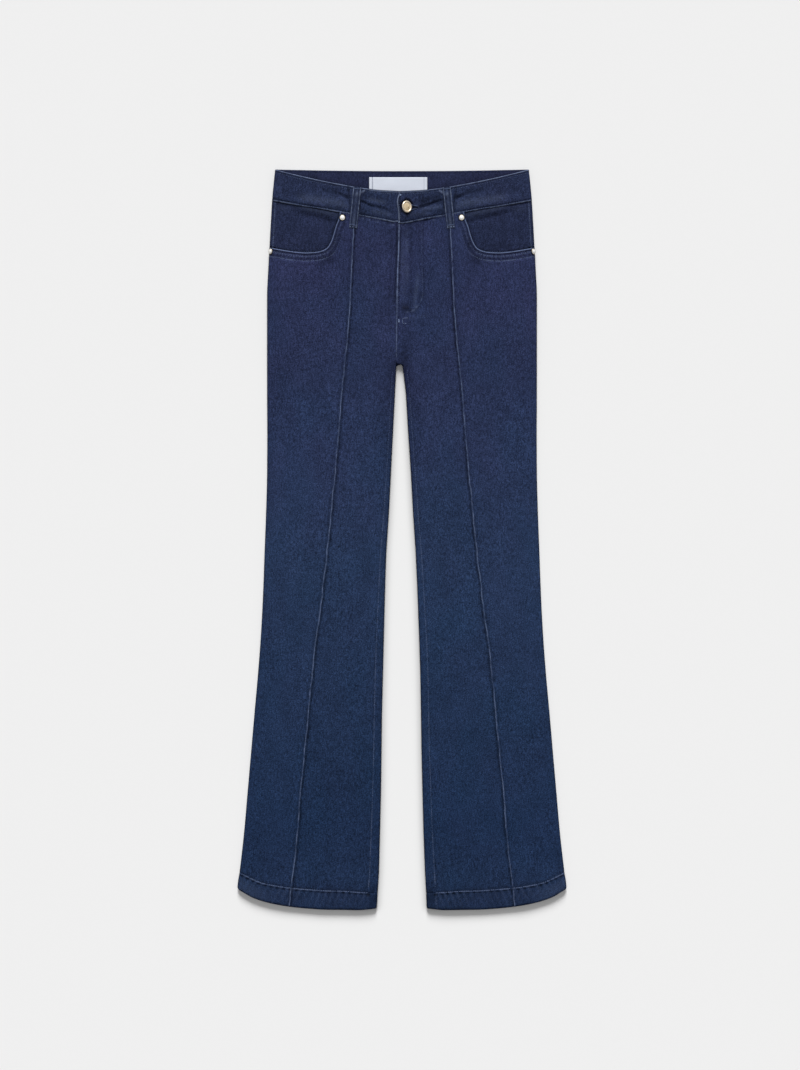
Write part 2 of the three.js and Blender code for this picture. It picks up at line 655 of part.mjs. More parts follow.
for (const [name, side] of [
  ["right", -1],
  ["left", 1],
]) {
  add("front_outer_" + name, frontOuter(side), DENIM);
  add("front_inner_" + name, frontInner(side), DENIM);
  add("pocket_facing_" + name, facing(side), DENIM_DARK);
  add("back_" + name, back(side), DENIM);
  add("yoke_" + name, yoke(side), DENIM);
  add("back_pocket_" + name, patchPocket(side), DENIM);
  add("loop_front_" + name, frontLoop(side), DENIM_DARK);
  add("loop_back_" + name, backLoop(side * 112), DENIM_DARK);
  add("rivet_top_" + name, rivetSolid(), GOLD, (m) => {
    m.rotation.x = Math.PI / 2;
    m.position.set(side * 87.0, 469.8, lie("top", 469.8) + 0.3);
  });
  add("rivet_side_" + name, rivetSolid(), GOLD, (m) => {
    // It rides on the fold of the hip's edge, so it leans out.
    const y = 420.6;
    const lean = THREE.MathUtils.degToRad(RIVET.lean);
    const edge = { d: outerAt(y), z: lie("seam", y) + SIDE_SEAM / 2, round: lie("round", y), top: lie("top", y) };
    const a = Math.atan2(Math.cos(lean) * (edge.top - edge.z), Math.sin(lean) * edge.round);
    const touch = { d: edge.d - edge.round * (1 - Math.cos(a)), z: edge.z + (edge.top - edge.z) * Math.sin(a) };
    const inward = 1.2;
    m.rotation.order = "YXZ";
    m.rotation.y = side * lean;
    m.rotation.x = Math.PI / 2;
    m.position.set(
      side * (touch.d + SEAM * Math.sin(lean) - inward * Math.cos(lean)),
      y,
      touch.z + SEAM * Math.cos(lean) + inward * Math.sin(lean),
    );
  });
}
add("fly_facing", flyFacing(), DENIM_DARK);
add("waistband_front_right", frontBand(-1), DENIM);
add("waistband_front_left", fromManifold(toManifold(frontBand(1)).subtract(toManifold(buttonhole()))), DENIM);
add("waistband_back", backBand(), DENIM);
add("loop_back_centre", backLoop(0), DENIM_DARK);
add(
  "label",
  flatPlate(
    [
      { x: LABEL.x0, y: LABEL.top - LABEL.height },
      { x: LABEL.x1, y: LABEL.top - LABEL.height },
      { x: LABEL.x1, y: LABEL.top },
      { x: LABEL.x0, y: LABEL.top },
    ],
    REST_LIFT + BAND + SEAM,
    LABEL.thick,
  ),
  WOVEN,
);
add("button", buttonSolid(), GOLD);

export default jeans;
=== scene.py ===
# The looks of the flared jeans. They lie flat on their back, so every piece is a thin shell of denim over its CAD
# solid: a flat sheet that turns down at the garment's folded edges. Each panel is cut out in its own flat
# coordinates q, y (millimetres, q measured out from the middle line and along the cloth round a fold), filled with
# points that are closest along seams and stitches, and then laid in place. Lengths are millimetres until a mesh is
# made. d is a distance out from the middle line, the same on both legs, and side is 1 on the wearer's left.
import math

import bpy
import numpy as np
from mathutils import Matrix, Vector
from mathutils.geometry import delaunay_2d_cdt
from mathutils.kdtree import KDTree


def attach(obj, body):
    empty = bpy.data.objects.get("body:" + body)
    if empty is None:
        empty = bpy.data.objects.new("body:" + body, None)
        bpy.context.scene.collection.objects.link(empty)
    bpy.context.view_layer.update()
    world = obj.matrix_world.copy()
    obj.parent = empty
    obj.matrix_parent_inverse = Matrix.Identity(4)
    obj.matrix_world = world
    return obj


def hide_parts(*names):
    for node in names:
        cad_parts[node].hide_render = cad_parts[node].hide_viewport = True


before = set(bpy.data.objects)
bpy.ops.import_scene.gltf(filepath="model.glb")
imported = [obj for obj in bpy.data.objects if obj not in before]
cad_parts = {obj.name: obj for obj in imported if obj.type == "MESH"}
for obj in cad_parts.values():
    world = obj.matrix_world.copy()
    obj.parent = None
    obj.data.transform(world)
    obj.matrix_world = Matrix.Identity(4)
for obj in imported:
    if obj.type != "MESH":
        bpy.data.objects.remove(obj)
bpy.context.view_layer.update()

scene = bpy.context.scene
scene.view_settings.view_transform = "Standard"

# ------------------------------------------------------------------ camera
MM_PER_PIXEL = 1.46
VIEW_W, VIEW_H = 800, 1070
AXIS_PX, LEVEL_PX = 402.0, 539.6  # the pixel of X = 0 and of Y = 0
cam_data = bpy.data.cameras.new("camera")
cam_data.sensor_fit = "HORIZONTAL"
cam_data.sensor_width = 36.0
cam_data.lens = 100.0
cam = bpy.data.objects.new("camera", cam_data)
scene.collection.objects.link(cam)
cam.location = (
    (VIEW_W / 2 - AXIS_PX) * MM_PER_PIXEL / 1000,
    (LEVEL_PX - VIEW_H / 2) * MM_PER_PIXEL / 1000,
    cam_data.lens / cam_data.sensor_width * VIEW_W * MM_PER_PIXEL / 1000 + 0.006,
)
cam_data.clip_end = 20
scene.camera = cam

# ------------------------------------------------------------------ sizes, as in the CAD model
CLOTH, BAND, HEM = 1.2, 2.0, 2.4
FLY_SEAM = -6.6
REST_LIFT = 1.5
BAND_TOP_Z = 8.4
TAB_DROP = 0.9
OVERLAP = 30.0
LOOP_WIDTH = 12.2

OUTLINE = {
    "y": [-541.0, -509.4, -485.3, -426.9, -368.5, -310.1, -251.7, -193.3, -134.9, -76.5, -18.1, 40.3, 98.7, 157.1, 215.5, 244.7, 254.0, 255.8, 257.0, 270.0, 303.1, 355.7, 390.7, 425.7, 460.8, 497.3, 541.1],
    "outer": [240.4, 240.2, 237.3, 230.7, 225.6, 220.5, 215.4, 210.2, 205.9, 202.9, 200.8, 198.6, 197.1, 196.8, 197.1, 197.1, 197.1, 197.1, 197.1, 197.1, 197.1, 197.1, 195.6, 193.6, 191.7, 189.6, 185.4],
    "pin": [165.4, 162.0, 158.9, 152.9, 147.9, 142.1, 136.7, 131.0, 123.7, 116.4, 109.1, 103.2, 97.7, 92.7, 88.1, 84.8, 83.8, 83.6, 83.4, 82.0, 79.1, 75.5, 73.6, 72.0, 70.8, 70.0, 69.0],
    "inR": [37.3, 35.2, 33.6, 32.1, 30.7, 29.9, 29.2, 27.7, 26.3, 24.8, 23.0, 19.0, 16.1, 13.1, 10.2, 8.6, 8.4, 8.4, 8.4, 6.6, 6.6, 6.6, 6.6, 6.6, 6.6, 6.6, 6.6],
    "inL": [36.6, 35.0, 33.6, 31.4, 29.9, 28.5, 27.7, 26.7, 24.8, 22.6, 20.0, 16.1, 12.9, 9.0, 5.6, 2.0, 0.6, -1.6, -6.6, -6.6, -6.6, -6.6, -6.6, -6.6, -6.6, -6.6, -6.6],
}
LIE = {
    "y": [-541.1, -500, -470, 100, 205, 244, 262, 290, 541.1],
    "under": [0, 0, 0, 0, 0, 0.7, 1.1, 1.5, 1.5],
    "seam": [3.0, 3.0, 2.6, 2.5, 2.5, 2.8, 3.0, 3.2, 3.2],
    "top": [6.4, 6.3, 5.7, 5.6, 6.0, 6.8, 7.2, 7.6, 7.8],
    "round": [7, 7, 8, 8, 8, 7, 6.5, 6, 5],
    "curl": [1, 1, 1, 1, 1, 1, 0, 0, 0],
}
HEM_EDGE = {
    "d": [26, 35, 65, 85, 110, 133, 160, 187, 205, 220, 231, 241],
    "edge": [-537.4, -538.4, -541.1, -540.8, -540.5, -539.2, -536.6, -532.2, -527.6, -522.0, -515.6, -509.0],
    "stitched": [-516.6, -516.4, -515.0, -513.5, -512.9, -511.4, -509.2, -505.3, -501.4, -495.1, -489.6, -484.6],
}
SCOOP = {
    "d": [90.6, 92.6, 96.7, 100.0, 104.2, 110.1, 118.6, 126.9, 140.3, 157.1, 173.7, 194.5],
    "y": [476.5, 467.5, 457.0, 445.3, 433.7, 425.2, 421.1, 419.6, 418.9, 420.2, 422.7, 426.4],
}
# Line of stitches along the inside leg: how far out it runs from the edge.
INSEAM = {"y": [-509, -415, -290, -164, -9, 130, 235], "off": [13.9, 12.6, 11.3, 11.0, 8.0, 6.5, 6.0]}
PATCH = [(34, 421), (42, 314), (92, 296), (141, 322), (150, 434)]


# ------------------------------------------------------------------ curves and noise
def smooth(xs, ys, x):
    """A curve through the table's points with no overshoot (monotone cubic)."""
    xs, ys, x = np.asarray(xs, float), np.asarray(ys, float), np.asarray(x, float)
    h = np.diff(xs)
    s = np.diff(ys) / h
    m = np.empty(len(xs))
    m[0], m[-1] = s[0], s[-1]
    prod = s[:-1] * s[1:]
    w1, w2 = 2 * h[1:] + h[:-1], h[1:] + 2 * h[:-1]
    with np.errstate(divide="ignore", invalid="ignore"):
        inner = (w1 + w2) / (w1 / s[:-1] + w2 / s[1:])
    m[1:-1] = np.where(prod > 0, inner, 0)
    xc = np.clip(x, xs[0], xs[-1])
    i = np.clip(np.searchsorted(xs, xc, side="right") - 1, 0, len(h) - 1)
    t = (xc - xs[i]) / h[i]
    out = (
        (2 * t**3 - 3 * t**2 + 1) * ys[i]
        + (t**3 - 2 * t**2 + t) * h[i] * m[i]
        + (-2 * t**3 + 3 * t**2) * ys[i + 1]
        + (t**3 - t**2) * h[i] * m[i + 1]
    )
    return out + np.where(x < xs[0], (x - xs[0]) * m[0], 0) + np.where(x > xs[-1], (x - xs[-1]) * m[-1], 0)


RNG = np.random.default_rng(7)
LATTICE = RNG.uniform(-1, 1, 8192)


def noise1(t, seed=0):
    t = np.asarray(t, float)
    i = np.floor(t).astype(int)
    f = t - i
    f = f * f * (3 - 2 * f)
    pick = lambda k: LATTICE[(k * 131 + seed * 977) % 8192]
    return pick(i) * (1 - f) + pick(i + 1) * f


def noise2(x, y, seed=0):
    x, y = np.asarray(x, float), np.asarray(y, float)
    i, j = np.floor(x).astype(int), np.floor(y).astype(int)
    f, g = x - i, y - j
    f, g = f * f * (3 - 2 * f), g * g * (3 - 2 * g)
    pick = lambda a, b: LATTICE[(a * 131 + b * 613 + seed * 977 + (a * b) % 89) % 8192]
    low = pick(i, j) * (1 - f) + pick(i + 1, j) * f
    high = pick(i, j + 1) * (1 - f) + pick(i + 1, j + 1) * f
    return low * (1 - g) + high * g


def ease(a, b, v):
    s = np.clip((np.asarray(v, float) - a) / (b - a), 0, 1)
    return s * s * (3 - 2 * s)


def outline(key, y):
    straight = np.interp(y, OUTLINE["y"], OUTLINE[key])
    return smooth(OUTLINE["y"], OUTLINE[key], y) if key in ("outer", "pin") else straight


def lie(key, y):
    return np.interp(y, LIE["y"], LIE[key])


band_top = lambda d: 507.5 + 32.6 * (np.abs(d) / 185.4) ** 1.5 + 1.0 * (1 - ease(8, 44, np.abs(d)))
band_seam = lambda d: 463.8 + 33.4 * (np.abs(d) / 189.6) ** 1.05
dip = lambda q: 2.2 * (1 - ease(5, 60, np.abs(q)))  # the band's lower edge dips towards the fly
back_top = lambda d: 538.5 + 2.4 * (d / 185.4) ** 2
back_seam = lambda d: back_top(d) - 43
yoke_seam = lambda d: 431 + 34 * (np.abs(d) / 190)
hem_edge = lambda d: smooth(HEM_EDGE["d"], HEM_EDGE["edge"], d)
hem_stitched = lambda d: smooth(HEM_EDGE["d"], HEM_EDGE["stitched"], d)
scoop = lambda d: smooth(SCOOP["d"], SCOOP["y"], d)
outer_at = lambda y: outline("outer", y)


def pin_at(y):
    """The raised seam down the front. A pressed seam is never quite straight."""
    y = np.asarray(y, float)
    return outline("pin", y) + 0.55 * noise1(y / 17, 3) + 0.35 * noise1(y / 7.5, 4)


# The closed front's edge, and the seam below it, swing a little in the laid cloth: how far, along X.
SWING = {"y": [255.9, 257.4, 264, 274, 291, 326, 364, 395, 423, 459, 541], "x": [0, -1.9, -2.2, -2.6, -2.4, -1.9, -1.4, -0.6, 0.8, 1.4, 1.4]}


def inner_at(side, y):
    close = 0 if side > 0 else -1.6 * np.interp(y, [255.9, 257.4, 270], [0, 1, 0])
    return outline("inL" if side > 0 else "inR", y) + side * np.interp(y, SWING["y"], SWING["x"]) + close


def band_end(y):
    """X of the buttonhole end of the waistband, which is a little bent too."""
    return FLY_SEAM + np.interp(y, [466, 477, 485, 493, 499, 504, 508], [1.5, 1.1, 0.0, -1.0, 0.0, 1.9, 2.3])


# ------------------------------------------------------------------ laying a panel in place
def quarter(r, h):
    return math.pi / 2 * np.sqrt((np.asarray(r) ** 2 + np.asarray(h) ** 2) / 2)


class Lay:
    """Takes flat coordinates q, y to x, z and the direction out of the face. out and in_ say which edges fold."""

    def __init__(self, up, flat, seam, round_, outer=None, inner=None, curl=None):
        self.up, self.flat, self.seam, self.round = up, flat, seam, round_
        self.outer, self.inner, self.curl = outer, inner, curl

    def ends(self, y):
        """q at the inner and the outer folded edge."""
        r, h = self.round(y), np.abs(self.flat(y) - self.seam(y))
        length = quarter(r, h)
        hi = self.outer(y) - r + length if self.outer else None
        lo = None
        if self.inner:
            c = self.curl(y)
            lo = self.inner(y) + r - (r * (1 - c) + length * c)
        return lo, hi

    def __call__(self, q, y):
        q, y = np.asarray(q, float), np.asarray(y, float)
        r, flat, seam = self.round(y), self.flat(y), self.seam(y)
        h = np.abs(flat - seam)
        length = quarter(r, h)
        x, z = q.copy(), flat + 0 * q
        nx, nz = np.zeros_like(q), np.full_like(q, float(self.up))
        if self.outer:
            e = self.outer(y)
            t = np.clip((q - (e - r)) / length, 0, 1)
            a = math.pi / 2 * (1 - t)
            on = t > 0
            x = np.where(on, e - r + r * np.cos(a), x)
            z = np.where(on, seam + self.up * h * np.sin(a), z)
            mx, mz = np.cos(a) / r, np.sin(a) / h
            m = np.hypot(mx, mz)
            nx, nz = np.where(on, mx / m, nx), np.where(on, self.up * mz / m, nz)
        if self.inner:
            e, c = self.inner(y), self.curl(y)
            run = r * (1 - c) + length * c
            t = np.clip((e + r - q) / run, 0, 1)
            a = math.pi / 2 * (1 - t)
            on = t > 0
            x = np.where(on, (e + r - r * np.cos(a)) * c + (e + r - t * r) * (1 - c), x)
            z = np.where(on, (seam + self.up * h * np.sin(a)) * c + flat * (1 - c), z)
            mx, mz = -np.cos(a) / r * c, np.sin(a) / h * c + (1 - c)
            m = np.hypot(mx, mz)
            nx, nz = np.where(on, mx / m, nx), np.where(on, self.up * mz / m, nz)
        return x, z, nx, nz


def front_lay(side, outer=False, inner=False, drop=0.0):
    return Lay(
        1,
        lambda y: lie("top", y) - drop,
        lambda y: lie("seam", y) + 0.2,
        lambda y: lie("round", y),
        outer_at if outer else None,
        (lambda y: inner_at(side, y)) if inner else None,
        lambda y: lie("curl", y),
    )


def back_centre(side, y):
    base = inner_at(side, y)
    to = -side * -np.interp(y, [257, 300], [-4, 0]) * -1
    t = np.clip((np.asarray(y, float) - 251.5) / 5.5, 0, 1)
    return np.where(np.asarray(y) > 257, to, base * (1 - t**3) + to * t**3)


def back_lay(side, inner=True):
    return Lay(
        -1,
        lambda y: lie("under", y),
        lambda y: lie("seam", y) - 0.2,
        lambda y: lie("round", y) * 0.6,
        outer_at,
        (lambda y: back_centre(side, y)) if inner else None,
        lambda y: lie("curl", y),
    )


# ------------------------------------------------------------------ lines on the cloth
def resample(line, step):
    line = np.asarray(line, float)
    seg = np.hypot(*np.diff(line, axis=0).T)
    keep = np.concatenate([[True], seg > 1e-9])
    line = line[keep]
    s = np.concatenate([[0], np.cumsum(np.hypot(*np.diff(line, axis=0).T))])
    n = max(2, int(round(s[-1] / step)) + 1)
    t = np.linspace(0, s[-1], n)
    return np.column_stack([np.interp(t, s, line[:, 0]), np.interp(t, s, line[:, 1])])


def normals_of(line):
    g = np.gradient(line, axis=0)
    g /= np.maximum(np.hypot(g[:, 0], g[:, 1]), 1e-9)[:, None]
    return np.column_stack([-g[:, 1], g[:, 0]]), g


class Line:
    """A line on a panel. near() gives how far points are from it, on which side, and how far along."""

    def __init__(self, points):
        self.p = resample(points, 0.4)
        self.n, self.g = normals_of(self.p)
        self.s = np.arange(len(self.p)) * 0.4
        self.tree = KDTree(len(self.p))
        for k, (a, b) in enumerate(self.p):
            self.tree.insert((a, b, 0), k)
        self.tree.balance()

    def near(self, q, y, reach=14.0):
        """Signed distance (left of the line's run is positive), beyond reach just far away, and the place along."""
        q, y = np.asarray(q, float), np.asarray(y, float)
        lo, hi = self.p.min(0) - reach, self.p.max(0) + reach
        box = (q > lo[0]) & (q < hi[0]) & (y > lo[1]) & (y < hi[1])
        dist, along = np.full(q.shape, 1e3), np.zeros(q.shape)
        for k in np.nonzero(box)[0]:
            _, i, far = self.tree.find((q[k], y[k], 0))
            if far > reach:
                continue
            v = (q[k] - self.p[i, 0], y[k] - self.p[i, 1])
            run = v[0] * self.g[i, 0] + v[1] * self.g[i, 1]
            off = v[0] * self.n[i, 0] + v[1] * self.n[i, 1]
            if i in (0, len(self.p) - 1) and abs(run) > 0.5:
                dist[k] = math.copysign(far, off)
            else:
                dist[k] = off
            along[k] = self.s[i] + run
        return dist, along


def bell(d, width):
    return np.exp(-((d / width) ** 2))


def stroke(X, y, x0, y0, x1, y1, width, soft=0.15):
    """1 along the middle of a line on the garment, less away from it and towards its ends."""
    dx, dy = x1 - x0, y1 - y0
    length = math.hypot(dx, dy)
    u = ((X - x0) * dx + (y - y0) * dy) / length**2
    v = (-(X - x0) * dy + (y - y0) * dx) / length
    return ease(-soft, soft, u) * (1 - ease(1 - soft, 1 + soft, u)) * bell(v, width)


def strokes(X, y, rows):
    total = np.zeros_like(X)
    for x0, y0, x1, y1, width, depth in rows:
        total = np.maximum(total, depth * stroke(X, y, x0, y0, x1, y1, width))
    return total


def spot(X, y, x0, y0, rx, ry):
    return np.exp(-(((X - x0) / rx) ** 2) - (((y - y0) / ry) ** 2))


# ------------------------------------------------------------------ filling and closing a panel
def inside(poly, pts):
    x, y = pts[:, 0], pts[:, 1]
    hit = np.zeros(len(pts), bool)
    a, b = poly, np.roll(poly, -1, axis=0)
    for (x0, y0), (x1, y1) in zip(a, b):
        if y0 == y1:
            continue
        m = (y0 > y) != (y1 > y)
        hit[m] ^= x[m] < (x1 - x0) * (y[m] - y0) / (y1 - y0) + x0
    return hit


def thin_out(groups, cell):
    """Keeps one point for each small cell, the earlier groups first."""
    seen, kept = set(), []
    for pts in groups:
        keys = np.floor(pts / cell).astype(int)
        for k, (i, j) in enumerate(map(tuple, keys)):
            if any((i + a, j + b) in seen for a in (-1, 0, 1) for b in (-1, 0, 1)):
                continue
            seen.add((i, j))
            kept.append(pts[k])
    return np.array(kept)


def fill(edge_lines, pitch, features, edge_step=1.8, hole=None):
    """Points and triangles of a panel whose outline is edge_lines, end to end and counter-clockwise."""
    edge = np.vstack([resample(l, edge_step)[:-1] for l in edge_lines])
    keep = np.hypot(*(edge - np.roll(edge, 1, axis=0)).T) > 0.2
    edge = edge[keep]
    closed = np.vstack([edge, edge[:1]])
    n, _ = normals_of(closed)
    n = n[:-1]
    rows = [edge + n * o for o in (0.45, 1.0)]
    for line, offsets, step in features:
        p = resample(line, step)
        m, _ = normals_of(p)
        rows += [p + m * o for o in offsets]
    lo, hi = edge.min(0), edge.max(0)
    gx = np.arange(lo[0], hi[0], pitch)
    gy = np.arange(lo[1], hi[1], pitch * 0.87)
    X, Y = np.meshgrid(gx, gy)
    X = X + (np.arange(len(gy)) % 2)[:, None] * pitch / 2
    grid = np.column_stack([X.ravel(), Y.ravel()])
    tree = KDTree(len(edge) + sum(map(len, rows)))
    for k, p in enumerate(np.vstack([edge, *rows])):
        tree.insert((p[0], p[1], 0), k)
    tree.balance()
    grid = grid[inside(edge, grid)]
    far = np.array([tree.find((p[0], p[1], 0))[2] for p in grid])
    grid = grid[far > pitch * 0.6]
    edge_tree = KDTree(len(edge))
    for k, p in enumerate(edge):
        edge_tree.insert((p[0], p[1], 0), k)
    edge_tree.balance()
    fine = thin_out(rows, 0.3)
    fine = fine[inside(edge, fine)]
    fine = fine[np.array([edge_tree.find((p[0], p[1], 0))[2] for p in fine]) > 0.3]
    pts = np.vstack([edge, fine, grid])
    extra = []
    if hole is not None:
        tree = KDTree(len(hole))
        for k, p in enumerate(hole):
            tree.insert((p[0], p[1], 0), k)
        tree.balance()
        away = np.array([tree.find((p[0], p[1], 0))[2] for p in pts]) > 0.35
        away &= ~inside(hole, pts)
        away[: len(edge)] = True
        pts = pts[away]
        base = len(pts)
        pts = np.vstack([pts, hole])
        extra = [(base + k, base + (k + 1) % len(hole)) for k in range(len(hole))]
    co, _, faces, *_ = delaunay_2d_cdt(
        [Vector(p) for p in pts], extra, [list(range(len(edge)))], 1, 1e-4, False
    )
    co = np.array([(v.x, v.y) for v in co])
    tri = np.array([f for f in faces if len(f) == 3])
    tri = tri[inside(edge, co[tri].mean(1))]
    if hole is not None:
        tri = tri[~inside(hole, co[tri].mean(1))]
    a = co[tri]
    area = (a[:, 1, 0] - a[:, 0, 0]) * (a[:, 2, 1] - a[:, 0, 1]) - (a[:, 2, 0] - a[:, 0, 0]) * (a[:, 1, 1] - a[:, 0, 1])
    tri = tri[np.abs(area) > 1e-6]
    area = area[np.abs(area) > 1e-6]
    tri[area < 0] = tri[area < 0][:, ::-1]
    flat_area = float(np.abs(area).sum() / 2)
    return co, tri, flat_area


def make_mesh(name, verts, faces, material, attributes=None, smooth_shade=True):
    me = bpy.data.meshes.new(name)
    me.vertices.add(len(verts))
    me.vertices.foreach_set("co", (np.asarray(verts, np.float32) / 1000).ravel())
    faces = [np.asarray(f, np.int32) for f in faces]
    flat = np.concatenate([f.ravel() for f in faces])
    sizes = np.concatenate([np.full(len(f), f.shape[1], np.int32) for f in faces])
    starts = np.concatenate([[0], np.cumsum(sizes)[:-1]]).astype(np.int32)
    me.loops.add(len(flat))
    me.loops.foreach_set("vertex_index", flat)
    me.polygons.add(len(sizes))
    me.polygons.foreach_set("loop_start", starts)
    me.update(calc_edges=True)
    me.validate()
    me.polygons.foreach_set("use_smooth", np.full(len(me.polygons), smooth_shade))
    for key, values in (attributes or {}).items():
        layer = me.attributes.new(key, "FLOAT", "POINT")
        layer.data.foreach_set("value", np.asarray(values, np.float32))
    me.materials.append(material)
    ob = bpy.data.objects.new(name, me)
    scene.collection.objects.link(ob)
    return ob


PLACES = {}


def cloth(name, node, lay, side, co, tri, flat_area, relief, paint, thick, material):
    q, y = co[:, 0], co[:, 1]
    x, z, nx, nz = lay(q, y)
    r = relief(q, y, x)
    t = thick(x, y)
    outer = np.column_stack([side * (x + nx * r), y, z + nz * r])
    inner = np.column_stack([side * (x - nx * t), y, z - nz * t])
    outer[:, 2] = np.maximum(outer[:, 2], 0)
    inner[:, 2] = np.maximum(inner[:, 2], 0)
    n = len(co)
    up = tri if side * lay.up > 0 else tri[:, ::-1]
    edges = np.vstack([up[:, [0, 1]], up[:, [1, 2]], up[:, [2, 0]]])
    key = np.sort(edges, axis=1)
    _, first, count = np.unique(key, axis=0, return_index=True, return_counts=True)
    rim = edges[first[count == 1]]
    walls = np.column_stack([rim[:, 1], rim[:, 0], rim[:, 0] + n, rim[:, 1] + n])
    wear_and_highlight, shade = paint(q, y, x)
    ob = make_mesh(
        name,
        np.vstack([outer, inner]),
        [up, up[:, ::-1] + n, walls],
        material,
        {
            "wear_and_highlight": np.concatenate([wear_and_highlight, np.zeros(n)]),
            # the inner face gets a flat painted shade
            "shade": np.concatenate([shade, np.full(n, 0.35)]),
        },
    )
    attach(ob, "root")
    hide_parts(*([node] if isinstance(node, str) else node))
    PLACES[name] = (lay, relief, side)
    return ob


# ------------------------------------------------------------------ materials
def material(name):
    m = bpy.data.materials.new(name)
    m.use_nodes = True
    m.node_tree.nodes.clear()
    return m, m.node_tree.nodes, m.node_tree.links


def srgb(r, g, b):
    f = lambda c: c / 255 / 12.92 if c <= 10 else ((c / 255 + 0.055) / 1.055) ** 2.4
    return (f(r), f(g), f(b), 1.0)


def cloth_tone(r, g, b):
    """The base colour that comes out as r, g, b on flat cloth, with the sheen's share taken off."""
    return tuple((c - 0.0028) / 1.06 for c in srgb(r, g, b)[:3]) + (1.0,)


# Denim colours down the garment: height in metres, then red, green and blue.
WASH = [
    (0.36, (44, 51, 80)),
    (0.16, (42.5, 52.5, 81)),
    (-0.03, (40.4, 54.3, 82)),
    (-0.24, (37, 51, 78.5)),
    (-0.42, (32.7, 46.8, 73.8)),
    (-0.50, (33.5, 47, 73)),
    (-0.52, (34, 46, 71.5)),
]


